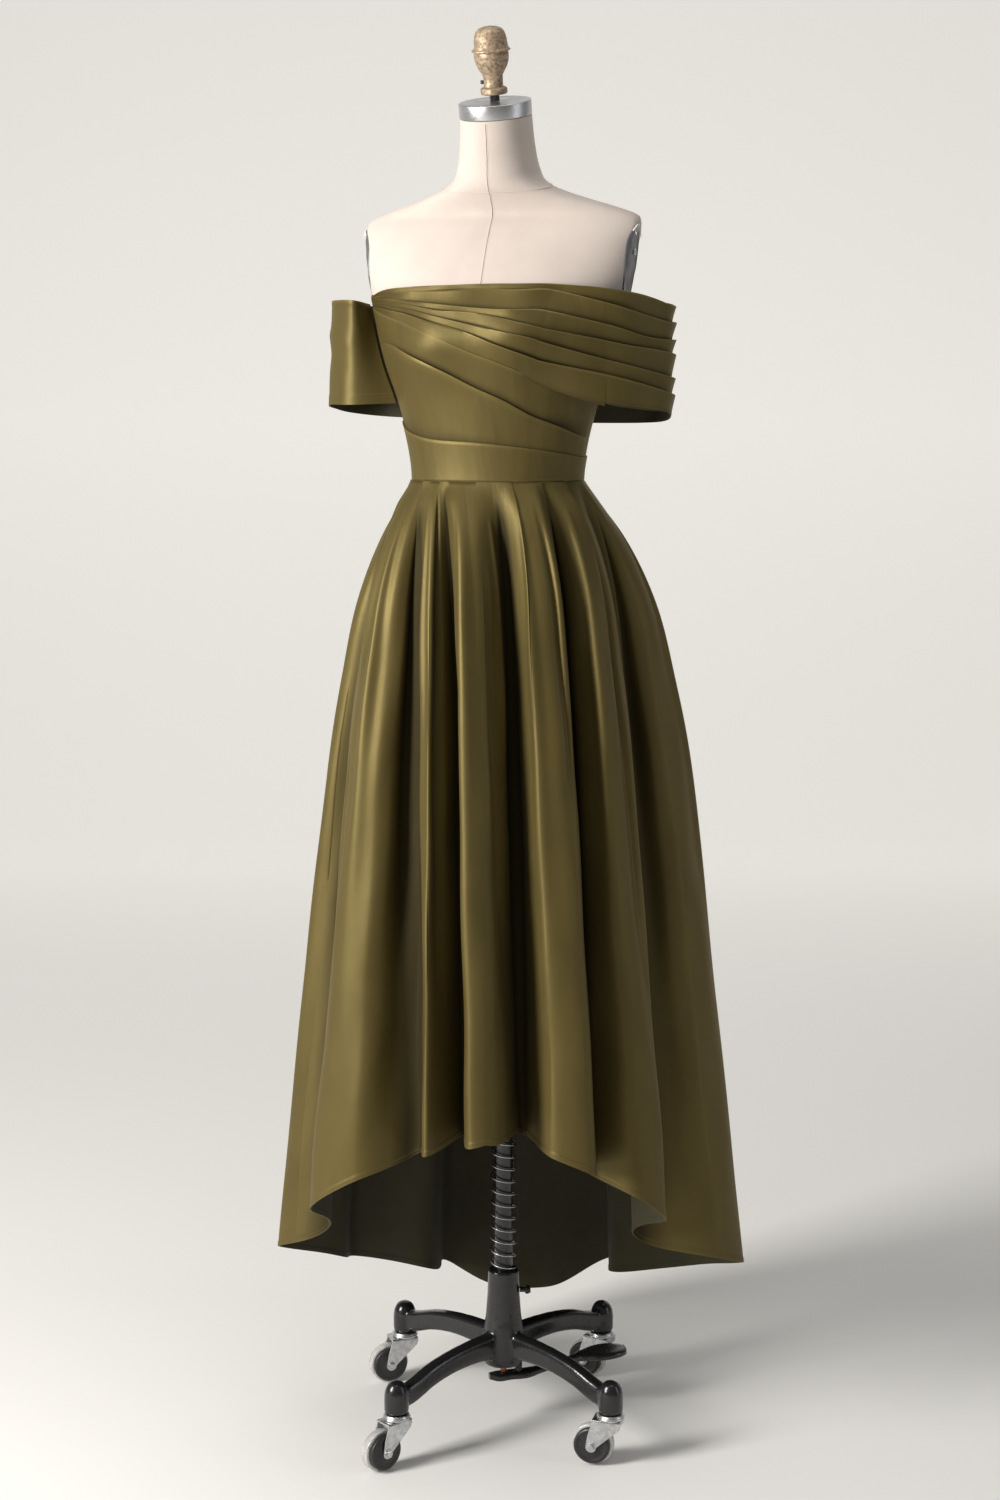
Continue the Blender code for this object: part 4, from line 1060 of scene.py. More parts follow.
BAND_TOP = Table(("angle", "z"), (
    (-180, 1.452), (-120, 1.462), (-85, 1.484), (-60, 1.470), (-35, 1.460), (0, 1.455),
    (30, 1.448), (60, 1.440), (90, 1.434), (135, 1.442), (180, 1.452),
))
BACK_TOP = Table(("angle", "z"), (
    (90, 1.598), (105, 1.625), (125, 1.648), (150, 1.652), (180, 1.646),
))
BODICE = Table(("angle", "top_z", "tuck_z", "tuck_depth"), (
    (-90, 1.600, 1.600, 0.0),
    (-80, 1.624, 1.596, 0.0),
    (-70, 1.6395, 1.592, 0.0),
    (-50, 1.626, 1.588, 0.4),
    (-33, 1.613, 1.572, 1.0),
    (-16, 1.595, 1.552, 1.0),
    (0, 1.575, 1.530, 1.0),
    (16, 1.5585, 1.512, 1.0),
    (32, 1.539, 1.492, 1.0),
    (39, 1.532, 1.486, 1.0),
    (46, 1.541, 1.481, 1.0),
    (55, 1.556, 1.475, 1.0),
    (66, 1.570, 1.468, 0.8),
    (90, 1.598, 1.460, 0.0),
))
DRAPE = Table(("angle", "x", "y", "low", "tuck_1", "tuck_2", "tuck_3", "tuck_4", "tuck_5", "top"), (
    (-70, None, None, 1.6395, 1.6418, 1.6440, 1.6461, 1.6483, 1.6505, 1.6530),
    (-50, None, None, 1.6260, 1.6360, 1.6410, 1.6460, 1.6505, 1.6565, 1.6630),
    (-33, None, None, 1.6130, 1.6290, 1.6350, 1.6410, 1.6465, 1.6580, 1.6655),
    (-16, None, None, 1.5950, 1.6145, 1.6235, 1.6330, 1.6405, 1.6600, 1.6665),
    (0, None, None, 1.5750, 1.6000, 1.6130, 1.6280, 1.6360, 1.6610, 1.6675),
    (16, None, None, 1.5585, 1.5830, 1.6015, 1.6200, 1.6320, 1.6605, 1.6675),
    (32, None, None, 1.5390, 1.5655, 1.5905, 1.6070, 1.6320, 1.6590, 1.6670),
    (None, 0.168, -0.083, 1.5080, 1.5465, 1.5670, 1.5920, 1.6130, 1.6430, 1.6610),
    (None, 0.211, -0.046, 1.4995, 1.5340, 1.5530, 1.5830, 1.5990, 1.6265, 1.6530),
    (None, 0.236, 0.004, 1.4950, 1.5210, 1.5440, 1.5755, 1.5940, 1.6180, 1.6400),
    (None, 0.222, 0.055, 1.4840, 1.5140, 1.5420, 1.5720, 1.5960, 1.6200, 1.6450),
    (None, 0.180, 0.082, 1.4800, 1.5120, 1.5440, 1.5740, 1.6000, 1.6260, 1.6500),
    (132, None, None, 1.4800, 1.5120, 1.5440, 1.5740, 1.6000, 1.6270, 1.6520),
))
LAID = 7
SLEEVE = Table(("angle", "x", "y", "low", "top"), (
    (-74, None, None, 1.5080, 1.6450),
    (None, -0.196, -0.080, 1.5060, 1.6500),
    (None, -0.235, -0.047, 1.5060, 1.6510),
    (None, -0.250, 0.000, 1.5020, 1.6500),
    (None, -0.238, 0.046, 1.4940, 1.6470),
    (None, -0.192, 0.078, 1.4880, 1.6480),
    (-132, None, None, 1.4860, 1.6500),
))
HEM = Table(("angle", "radius", "waist_angle"), (
    (-4, 0.296, -32), (2.5, 0.215, -22), (8, 0.295, -15), (14, 0.285, -7), (25, 0.190, 12),
    (32, 0.278, 23), (42, 0.292, 35), (50, 0.205, 43), (58, 0.280, 52), (69, 0.290, 66),
    (84, 0.205, 78), (98, 0.318, 88), (110, 0.358, 97), (126, 0.318, 112), (145, 0.215, 130),
    (164, 0.335, 148), (191, 0.328, 178), (212, 0.335, 205), (231, 0.205, 228),
    (250, 0.292, 245), (264, 0.268, 256), (283, 0.336, 266), (303, 0.262, 283),
    (318, 0.318, 300), (333, 0.300, 313), (345, 0.225, 320),
))
HEM_TURN = 12.0
HEM_HEIGHT = Table(("turn", "z"), (
    (0, 0.520), (20, 0.492), (40, 0.440), (60, 0.365), (80, 0.290), (100, 0.235), (120, 0.195),
    (140, 0.175), (155, 0.145), (170, 0.090), (180, 0.080),
))
FLARE = Table(("drop", "share"), (
    (0.0, 0.0), (0.07, 0.23), (0.15, 0.40), (0.25, 0.51), (0.34, 0.60), (0.47, 0.69), (0.57, 0.755),
    (0.66, 0.81), (0.76, 0.87), (0.86, 0.93), (1.0, 1.0),
))
WAIST_PLEATS = Table(("angle", "side", "size"), (
    (-140, -1, 0.8), (-118, -1, 0.8), (-82, 1, 0.8), (-62, 1, 0.8), (-42, 1, 1.0), (-22, 1, 1.0),
    (22, -1, 0.45), (42, -1, 0.6), (62, -1, 0.8), (82, -1, 0.8), (118, 1, 0.8), (140, 1, 0.8),
))
# Soft creases of the skirt: waist angle, where they start and end down the skirt,
# half width and height on the cloth, and how far they lean to the side
CREASES = Table(("angle", "start", "end", "width", "height", "lean"), (
    (-150, 0.05, 0.80, 0.018, 0.0090, 0.02), (-139, 0.04, 0.95, 0.018, -0.0130, -0.03),
    (-122, 0.03, 0.75, 0.016, 0.0090, 0.02), (-110, 0.06, 0.92, 0.018, -0.0130, 0.00),
    (-98, 0.04, 0.70, 0.015, 0.0090, 0.02), (-85, 0.10, 0.90, 0.020, -0.0110, -0.02),
    (-71, 0.03, 0.70, 0.014, 0.0080, 0.02), (-61, 0.01, 0.92, 0.014, -0.0130, 0.00),
    (-51, 0.03, 0.80, 0.013, 0.0080, -0.01), (-42, 0.01, 0.96, 0.014, -0.0150, -0.01),
    (-35, 0.03, 0.80, 0.010, 0.0080, 0.00), (-29, 0.02, 0.88, 0.010, -0.0130, 0.01),
    (-21, 0.01, 0.70, 0.010, -0.0100, 0.00), (-13, 0.03, 0.86, 0.015, 0.0080, -0.02),
    (-2, 0.12, 0.90, 0.011, -0.0070, 0.02), (5, 0.05, 0.70, 0.012, 0.0060, 0.00),
    (12, 0.03, 0.97, 0.017, -0.0140, 0.00), (22, 0.04, 0.85, 0.013, 0.0080, 0.00),
    (33, 0.03, 0.62, 0.011, -0.0080, 0.02), (43, 0.04, 0.95, 0.015, -0.0140, 0.00),
    (53, 0.03, 0.80, 0.014, 0.0090, -0.02), (62, 0.05, 0.88, 0.012, -0.0110, 0.01),
    (72, 0.03, 0.80, 0.014, 0.0080, -0.01), (83, 0.03, 0.95, 0.017, -0.0140, 0.01),
    (97, 0.04, 0.75, 0.016, 0.0090, 0.02), (109, 0.05, 0.85, 0.016, -0.0110, -0.02),
    (124, 0.03, 0.80, 0.018, 0.0090, 0.00), (138, 0.04, 0.93, 0.018, -0.0130, 0.02),
    (152, 0.05, 0.75, 0.016, 0.0080, -0.02), (166, 0.04, 0.88, 0.018, -0.0110, 0.01),
))


def along_rows(values: np.ndarray, stations: np.ndarray) -> np.ndarray:
    """Reads rows of grids at a station for each column.

    Args:
        values: one grid of points for each station row: rows, levels, columns, 3.
        stations: the station of each column.

    Returns:
        Points as levels, columns, 3.
    """
    tangents = np.gradient(values, axis=0)
    index = np.clip(np.floor(stations).astype(int), 0, len(values) - 2)
    column = np.arange(len(stations))
    ends = [grids[step, :, column] for grids in (values, tangents) for step in (index, index + 1)]
    return np.moveaxis(cubic(*ends, (stations - index)[:, None, None]), 0, 1)


def grid_normals(grid: np.ndarray) -> np.ndarray:
    """Unit normals of a grid of points whose columns run towards growing plan angles."""
    return unit(np.cross(np.gradient(grid, axis=1), np.gradient(grid, axis=0)))


def plan_normals(grid: np.ndarray) -> np.ndarray:
    """Level unit normals of a grid of points, along its columns."""
    along = np.gradient(grid, axis=1)
    return unit(np.stack([along[..., 1], -along[..., 0], np.zeros(along.shape[:2])], axis=-1))


def stitch_row(outer: np.ndarray, row: int) -> np.ndarray:
    """The line that stitches follow, a hair over one level of an outer face."""
    return outer[row] + plan_normals(outer)[row] * STITCH_RISE


@dataclass
class Cloth:
    """A cut piece of satin as a thin closed shell between two grids of points."""

    name: str
    held: Held

    def shell(self, outer: np.ndarray, inner: np.ndarray, edge: np.ndarray) -> None:
        """Args:
            outer: the grid of the outer face: levels, columns, 3.
            inner: the grid of the inner face, the same size.
            edge: painted light of each outer point, above 0 a painted highlight on a folded edge and below
                0 painted shade in a fold valley.
        """
        rows, columns = outer.shape[:2]
        count = rows * columns
        cells = np.arange(count).reshape(rows, columns)
        quads = np.stack([cells[:-1, :-1], cells[:-1, 1:], cells[1:, 1:], cells[1:, :-1]], -1)
        quads = quads.reshape(-1, 4)
        rims = [np.stack([line[1:], line[:-1], line[:-1] + count, line[1:] + count], -1)
                for line in (cells[0], cells[-1][::-1], cells[:, 0][::-1], cells[:, -1])]
        faces = np.concatenate([quads, quads[:, ::-1] + count, *rims])
        slots = np.zeros(len(faces), np.int32)
        slots[len(quads):2 * len(quads)] = 1
        across, up = (np.linalg.norm(np.diff(outer, axis=way), axis=-1) for way in (1, 0))
        u = np.concatenate([[0], np.cumsum(across.mean(axis=0))])
        v = np.concatenate([[0], np.cumsum(up.mean(axis=1))])
        uv = np.tile(np.stack(np.meshgrid(u, v), -1).reshape(-1, 2), (2, 1))
        points = np.concatenate([outer.reshape(-1, 3), inner.reshape(-1, 3)])
        piece = mesh_piece("satin_" + self.name, points, faces, [SATIN, REVERSE_SHADED], 65.0, uv, slots,
                           outward=True)
        # The painted highlight and shade go to the outer points as a point attribute that the satin's
        # colour reads; the inner points get none.
        painted_mark = piece.data.attributes.new("fold_edge", "FLOAT", "POINT")
        painted_mark.data.foreach_set("value", np.concatenate([edge.ravel(), np.zeros(count)]).astype(np.float32))
        keep(piece, "form", "olive_satin", self.name)
        width = round(float(across.sum(axis=1).max()), 2)
        length = round(float(np.percentile(up.sum(axis=0), 90)), 2)
        sides = np.cross(outer[1:, 1:] - outer[:-1, :-1], outer[:-1, 1:] - outer[1:, :-1])
        area = round(float(np.linalg.norm(sides, axis=-1).sum() / 2), 3)
        area = min(max(area, LEAST_FILL * width * length), width * length)
        log.info("%s cut %.2f x %.2f m, %.3f m2", piece.name, width, length, area)


def rising(heights: np.ndarray, least: float = 0.0002) -> np.ndarray:
    """Heights down the levels of a folded wall made to rise steadily, for its inner face."""
    steady = np.array(heights, float)
    for level in range(1, len(steady)):
        steady[level] = np.maximum(steady[level], steady[level - 1] + least)
    return steady


@dataclass
class Fold:
    """Levels of a cloth wall from the bottom up: heights, stand, and the painted highlight and shade at
    folded edges.
    """

    heights: list[np.ndarray] = field(default_factory=list)
    proud: list[np.ndarray] = field(default_factory=list)
    # Painted light of each level: above 0 a painted highlight, below 0 painted shade.
    edge: list[np.ndarray] = field(default_factory=list)

    def add(self, height: np.ndarray, proud: np.ndarray | float, edge: np.ndarray | float = 0.0) -> None:
        """Adds a level."""
        self.heights.append(height)
        self.proud.append(np.broadcast_to(proud, height.shape).astype(float))
        self.edge.append(np.broadcast_to(edge, height.shape).astype(float))

    def strip(self, low: np.ndarray, high: np.ndarray, top: np.ndarray | float, steps: int,
              puff: float = 0.25, start: float = 0.0, shadow: np.ndarray | float = 0.0,
              painted_strength: np.ndarray | float = 1.0) -> None:
        """Adds a strip that rises to its folded upper edge.

        Args:
            low: height of its lower end.
            high: height of its folded edge.
            top: how proud the edge stands.
            steps: levels in the strip.
            puff: how much it swells between its ends.
            start: how proud its lower end stands.
            shadow: how dark the painted shade is in the fold valley where it leaves the strip below.
            painted_strength: how strongly the painted highlight on its edge shows.
        """
        for share in np.linspace(0, 1, steps):
            swell = start + (top - start) * share**1.7 + puff * top * math.sin(math.pi * share)
            # Painted light: a painted highlight on the top tenth of the strip under its folded edge,
            # painted shade at its foot.
            near = painted_strength * max(0.0, (share - 0.9) / 0.1) - shadow * max(0.0, 1 - share / 0.24) ** 1.5
            self.add(low + (high - low) * share, swell, near)

    def turn_under(self, high: np.ndarray, top: np.ndarray | float, back: np.ndarray | float,
                   painted_strength: np.ndarray | float = 1.0) -> None:
        """Rolls the folded edge over and tucks the cloth back under it, with a painted highlight on the
        roll and painted shade beneath it.
        """
        # Painted highlight on the rolled edge, then painted shade where the cloth tucks under it.
        for rise, stand, painted_mark in ((0.00035, 0.88, 1.0), (0.00030, 0.62, 0.3), (-0.0009, 0.42, -0.6)):
            self.add(high + rise, stand * top, painted_mark * painted_strength)
        self.add(high - back, 0.30 * top, -painted_strength)
        self.add(high - back - 0.0002, 0.06 * top, -painted_strength)

    def arrays(self) -> tuple[np.ndarray, np.ndarray, np.ndarray]:
        """Heights, stand and painted light and shade as grids."""
        return np.array(self.heights), np.array(self.proud), np.array(self.edge)


@dataclass
class Bodice:
    """The pieces that lie on the form: wrapped front, waist band and backs."""

    lift: float = 0.0010
    tuck: float = 0.0030
    seam_gap: float = 0.0003
    puckers: float = 0.00012

    def build(self) -> list[np.ndarray]:
        """Builds the pieces and returns the lines that are stitched."""
        self.front()
        return self.band() + self.backs()

    def edge_angles(self, start: float, end: float, count: int) -> np.ndarray:
        """Plan angles between two seams, each a hair short of its seam."""
        short = math.degrees(self.seam_gap / 2 / 0.125)
        return np.linspace(start + short, end - short, count)

    def lay(self, name: str, angles: np.ndarray, fold: Fold, held: Held) -> np.ndarray:
        """Makes a piece from levels that lie on the form, and returns its outer grid."""
        # Here edges holds the painted highlight and shade of each point.
        heights, proud, edges = fold.arrays()
        wave = np.sin(angles * 0.61 + 1.3) + 0.6 * np.sin(angles * 1.27 + heights * 90)
        proud = proud + self.puckers * 0.5 * wave
        outer = torso_point(angles[None, :], heights, self.lift + WALL + np.maximum(proud, 0))
        inner = torso_point(angles[None, :], rising(heights), self.lift + 0.6 * np.maximum(proud[:1], 0))
        Cloth(name, held).shell(outer, inner, edges)
        return outer

    def front(self) -> None:
        """The wrapped front, tucked once, its folded top edge over the drape."""
        angles = self.edge_angles(-90.0, 90.0, 170)
        top, tuck, size = np.moveaxis(BODICE.at(angles), -1, 0)
        laid = DRAPE.column("angle")[:LAID]
        on_drape = (angles > laid[0]) & (angles < laid[-1])
        top = np.where(on_drape, drape_low(angles), top)
        low = BAND_TOP.at(angles) - 0.004
        tuck = np.clip(tuck, low + 0.010, top - 0.006)
        size = np.clip(size, 0, 1)
        fold = Fold()
        # Painted shade at the foot of each strip and a painted highlight on each folded edge, faded with
        # the tuck.
        fold.strip(low, tuck, self.tuck * size, 16, 0.15, 0.0, 0.9, size)
        fold.turn_under(tuck, self.tuck * size, 0.004 * size, size)
        over = np.clip((laid[-1] - 1.0 - angles) / 9.0, 0, 1) * on_drape
        proud = 0.0003 + self.tuck * 0.8 * over
        fold.strip(tuck + 0.001, top + 0.0008, proud, 14, 0.12, 0.0, 0.9 * size, over)
        self.lay("bodice_front", angles, fold, Held.STRETCHED)

    def band(self) -> list[np.ndarray]:
        """The waist band, its folded top edge over the bodice."""
        lines = []
        for name, start, end, count in (("midriff_front", -88.0, 88.0, 130),
                                        ("midriff_back_left", 88.0, 180.0, 70),
                                        ("midriff_back_right", -180.0, -88.0, 70)):
            angles = self.edge_angles(start, end, count)
            low = np.full(count, WAIST_Z - 0.0011)
            high = BAND_TOP.at(angles)
            fold = Fold()
            for rise, proud in ((0.0, 0.0), (0.0016, 0.0), (0.0026, 0.0008)):
                fold.add(low + rise, proud)
            fold.strip(low + 0.0040, high, self.tuck * 0.75, 12, 0.10, 0.0008)
            # A painted highlight on the band's folded top edge.
            fold.add(high + 0.0003, self.tuck * 0.6, 0.8)
            lines.append(stitch_row(self.lay(name, angles, fold, Held.STRETCHED), 3))
        return lines

    def backs(self) -> list[np.ndarray]:
        """Two plain back panels that meet at the closed zip."""
        lines = []
        for name, side in (("bodice_back_left", 1), ("bodice_back_right", -1)):
            angles = self.edge_angles(90.0, 180.0, 70)[::side] * side
            top = BACK_TOP.at(np.abs(angles))
            fold = Fold()
            fold.strip(BAND_TOP.at(angles) - 0.003, top - 0.001, 0.0004, 22, 0.3)
            # A faint painted highlight along the back's top edge.
            fold.add(top - 0.0002, 0.0003, 0.3)
            fold.add(top, 0.0)
            lines.append(stitch_row(self.lay(name, angles, fold, Held.STRETCHED), -6))
        return lines


def drape_low(angle: np.ndarray) -> np.ndarray:
    """Height of the drape's lower edge at plan angles where it lies on the form."""
    laid = DRAPE.column("angle")[:LAID]
    lows = DRAPE.column("low")
    return hermite(np.arange(len(lows)), lows, np.interp(angle, laid, np.arange(LAID)))


@dataclass
class Bands:
    """The pleated drape with its left sleeve, and the plain right sleeve."""

    tuck: float = 0.0060
    sheath: float = 0.0022
    back_land: float = 0.0040
    front_land: float = 0.0058
    lean: float = 0.030

    def place(self, table: Table, stations: np.ndarray, heights: np.ndarray, stand: float,
              lands: dict[int, float], laid: int = 0) -> np.ndarray:
        """Points of a band at each station and height.

        Args:
            table: its stations.
            stations: the station of each column.
            heights: levels by columns.
            stand: how far the cloth lies off the form.
            lands: the stand of stations that rest on another panel.
            laid: how many first stations lie on the form.

        Returns:
            Points as levels, columns, 3.
        """
        angle, x, y = (table.column(name) for name in ("angle", "x", "y"))
        grids = []
        for number in range(len(table.rows)):
            if math.isnan(angle[number]):
                level = np.stack(np.broadcast_arrays(x[number], y[number], heights), axis=-1)
            else:
                level = torso_point(angle[number], heights, lands.get(number, stand))
            grids.append(level)
        found = along_rows(np.array(grids), stations)
        if laid:
            turn = np.interp(stations, np.arange(laid), angle[:laid])
            on = torso_point(turn[None, :], heights, lands.get(0, stand))
            found = np.where((stations <= laid - 1)[None, :, None], on, found)
        return found

    def build(self) -> list[np.ndarray]:
        """Builds the drape and the sleeves and returns the lines that are stitched."""
        return self.drape() + self.plain_sleeve()

    def drape(self) -> list[np.ndarray]:
        """The tucked drape over the bust and the sleeve that its tucks run on into."""
        last = len(DRAPE.rows) - 1
        rows = np.array([row[3:] for row in DRAPE.rows], float)
        for name, start, end, count, held in (("bust_drape", 0, LAID, 200, Held.GATHERED),
                                              ("sleeve_left", LAID, last, 120, Held.DRAPED)):
            stations = np.linspace(start, end, count)
            edges = list(hermite(np.arange(len(rows)), rows, stations).T)
            final = edges[-1]
            lows = edges[:-1]
            if start == 0:
                lows[0] = lows[0] - 0.004
            fold = Fold()
            for number, (low, high) in enumerate(zip(lows, edges[1:])):
                wobble = 0.0007 * np.sin(stations * (2.1 + 0.3 * number) + number * 1.7)
                spread = np.clip((high - low if number else high - edges[0]) / 0.012, 0.12, 1.0)
                uneven = 1 + 0.22 * np.sin(stations * (1.7 + 0.4 * number) + 2.3 * number)
                top = self.tuck * spread * uneven * (0.8 if number == len(lows) - 1 else 1.0)
                # Painted shade at the foot of each strip, lighter on the first, and a painted highlight on
                # each folded edge.
                fold.strip(low + 0.0004, high + wobble * spread, top, 11, 0.12, 0.0,
                           0.9 if number else 0.5)
                if number < len(lows) - 1:
                    fold.turn_under(high + wobble * spread, top, 0.005 * spread)
            # A painted highlight on the drape's top edge; marks then holds the painted light and shade of
            # every level.
            fold.add(final + 0.0006, top * 0.55, 0.6)
            fold.add(final - 0.0006, top * 0.15)
            heights, proud, marks = fold.arrays()
            inner, outer = (self.place(DRAPE, stations, levels, self.sheath, {last: self.back_land}, LAID)
                            for levels in (rising(heights), heights))
            outer = outer + plan_normals(outer) * (WALL + np.maximum(proud, 0))[..., None]
            Cloth(name, held).shell(outer, inner, marks)
        return [stitch_row(outer, 1)]

    def plain_sleeve(self) -> list[np.ndarray]:
        """The plain band round the right arm opening, with soft creases and a turned hem."""
        last = len(SLEEVE.rows) - 1
        stations = np.linspace(0, last, 150)
        low, top = np.moveaxis(hermite(np.arange(last + 1), np.stack(
            [SLEEVE.column("low"), SLEEVE.column("top")], -1), stations), -1, 0)
        shares = np.concatenate([np.linspace(0, 0.10, 8), np.linspace(0.10, 0.95, 26)[1:],
                                 np.linspace(0.95, 1.0, 6)[1:]])
        share = shares[:, None]
        heights = low + (top - low) * share
        lands = {0: self.front_land, last: self.back_land}
        middle = self.place(SLEEVE, stations, heights, self.front_land, lands)
        reach = np.sin(math.pi * np.linspace(0, 1, len(stations)))
        middle[..., 0] *= 1 + self.lean * (1 - share) * reach
        normal = -plan_normals(middle)
        swell = 0.0
        for centre, at, wide, tall, height in (
                (0.6, 0.80, 0.45, 0.10, 0.0020), (1.3, 0.62, 0.60, 0.07, 0.0026),
                (1.9, 0.42, 0.70, 0.08, -0.0024), (2.7, 0.70, 0.80, 0.07, 0.0024),
                (3.4, 0.35, 0.70, 0.09, 0.0022), (4.3, 0.60, 0.70, 0.08, -0.0022)):
            line = at + 0.10 * (stations - centre)[None, :]
            swell = swell + height * np.exp(-(((stations - centre) / wide) ** 2)[None, :]
                                            - ((share - line) / tall) ** 2)
        swell = swell * reach + 0.0006 * np.sin(stations * 7.0)[None, :] * reach * (1 - share)
        hem = 0.0005 * ((share < 0.10) | (share > 0.95))
        outer = middle + normal * (WALL + swell + hem)[..., None]
        inner = middle + normal * (swell - hem)[..., None]
        # A painted highlight along the sleeve's folded top edge.
        edge = np.broadcast_to(np.clip((share - 0.97) / 0.03, 0, 1), heights.shape)
        # Stations run from the front to the back past -X, so the grid is turned round.
        Cloth("sleeve_right", Held.DRAPED).shell(outer[:, ::-1], inner[:, ::-1], edge)
        return [outer[7] + normal[7] * STITCH_RISE]


@dataclass
class Skirt:
    """The five panels of the skirt, on one folded surface."""

    stand: float = 0.0030
    pleat_stand: float = 0.0085
    pleat_lap: float = 1.2
    pleat_width: float = 13.0
    pleat_fade: float = 0.40
    hem_depth: float = 0.009
    # How far to each side the painted fold shade looks to judge a valley's depth.
    shade_reach: float = 0.058
    panel_gap: float = 0.00006
    seams: tuple[tuple[str, float, float, int], ...] = (
        ("skirt_front", -32.0, 33.0, 190),
        ("skirt_side_left", 33.0, 88.0, 150),
        ("skirt_back_left", 88.0, 180.0, 190),
        ("skirt_back_right", 180.0, 272.0, 190),
        ("skirt_side_right", 272.0, 328.0, 150))

    def __post_init__(self) -> None:
        """Works out the hem's folded outline in plan."""
        angle = np.radians(HEM.column("angle"))
        radius = HEM.column("radius")
        waist = HEM.column("waist_angle")
        points = np.stack([radius * np.sin(angle), -radius * np.cos(angle)], axis=-1)
        self.plan = np.concatenate([points[-3:], points, points[:4]])
        self.turns = np.concatenate([waist[-3:] - 360, waist, waist[:4] + 360])
        steps = np.linalg.norm(np.diff(self.plan, axis=0), axis=1)
        self.places = np.concatenate([[0], np.cumsum(steps)])
        self.round = self.places[-4] - self.places[3]

    def waist_angle(self, position: np.ndarray) -> np.ndarray:
        """The waist angle that a place along the hem falls from."""
        return hermite(self.places, self.turns[:, None], position)[..., 0]

    def position(self, waist_angle: float) -> float:
        """The place along the hem that falls from a waist angle."""
        dense = np.linspace(self.places[0], self.places[-1], 6000)
        return float(np.interp(waist_angle, self.waist_angle(dense), dense))

    def pleats(self, angle: np.ndarray, drop: np.ndarray) -> tuple[np.ndarray, np.ndarray]:
        """How far the waist pleats stand out, and how far they lap sideways in degrees."""
        stand = np.zeros(np.broadcast(angle, drop).shape)
        lap = np.zeros_like(stand)
        fade = np.clip(1 - drop / self.pleat_fade, 0, 1)
        for place, side, size in WAIST_PLEATS.rows:
            away = side * ((angle - place + 180) % 360 - 180)
            inside = (away >= 0) & (away < self.pleat_width)
            share = np.where(inside, 1 - away / self.pleat_width, 0.0)
            stand = stand + size * self.pleat_stand * share
            lap = lap - side * size * self.pleat_lap * share**2 * fade**0.7
        rise = np.clip(drop / 0.03, 0.30, 1.0)
        return stand * rise * fade, lap

    def creases(self, position: np.ndarray, drop: np.ndarray) -> np.ndarray:
        """How far the hand-placed creases lift the cloth."""
        total = np.zeros(np.broadcast(position, drop).shape)
        for angle, start, end, width, height, lean in CREASES.rows:
            centre = self.position(angle if angle > -32 else angle + 360)
            share = (drop - start) / (end - start)
            inside = np.clip(share, 0, 1)
            swell = np.sin(math.pi * inside**0.7) ** 1.3
            away = (position - centre - self.round / 2) % self.round - self.round / 2
            away = away - lean * (drop - start)
            total = total + height * swell * np.exp(-(away / (width * (0.6 + 0.9 * inside))) ** 2)
        return total

    def points(self, position: np.ndarray, drop: np.ndarray, lapped: bool = True) -> np.ndarray:
        """Points of the skirt's outer face.

        Args:
            position: places along the hem.
            drop: from 0 at the waist to 1 at the hem.
            lapped: whether the waist pleats stand out and lap sideways.

        Returns:
            Points about the pole's axis.
        """
        hem = hermite(self.places, self.plan, position)
        angle = self.waist_angle(position)
        stand, lap = self.pleats(angle, drop)
        waist = torso_point(angle + lap * lapped, WAIST_Z, self.stand)[..., :2]
        away = unit(waist - np.array([0.0, TORSO.at(WAIST_Z, "centre_y")]))
        bare = torso_point(angle, WAIST_Z, self.stand)[..., :2]
        plan = waist + away * (stand * lapped)[..., None] + (hem - bare) * FLARE.at(drop)[..., None]
        turn = np.degrees(np.arctan2(hem[..., 0], -hem[..., 1])) - HEM_TURN
        low = HEM_HEIGHT.at(np.abs((turn + 180) % 360 - 180))
        top = WAIST_Z - 0.0003
        return np.concatenate([plan, (top - drop * (top - low))[..., None]], axis=-1)

    def painted_fold_shade(self, position: np.ndarray, drop: np.ndarray, normal: np.ndarray) -> np.ndarray:
        """Painted shade for each point, from -1 deep in a fold valley to a little over 0, a faint painted
        highlight, on a ridge.
        """
        ways = (-self.shade_reach, self.shade_reach)
        beside = sum(self.points(position + way, drop, False) for way in ways) / 2
        lifted = sum(self.creases(position + way, drop) for way in ways) / 2
        depth = ((beside - self.points(position, drop, False)) * normal).sum(axis=-1)
        depth = depth + lifted - self.creases(position, drop) - 0.002
        scale = 0.007 + 0.017 * drop
        return -np.clip(depth / scale, 0, 1) ** 0.8 + 0.16 * np.clip(-depth / scale, 0, 1)

    def build(self) -> list[np.ndarray]:
        """Builds the panels and returns their hem stitch lines."""
        return [self.panel(*seam) for seam in self.seams]

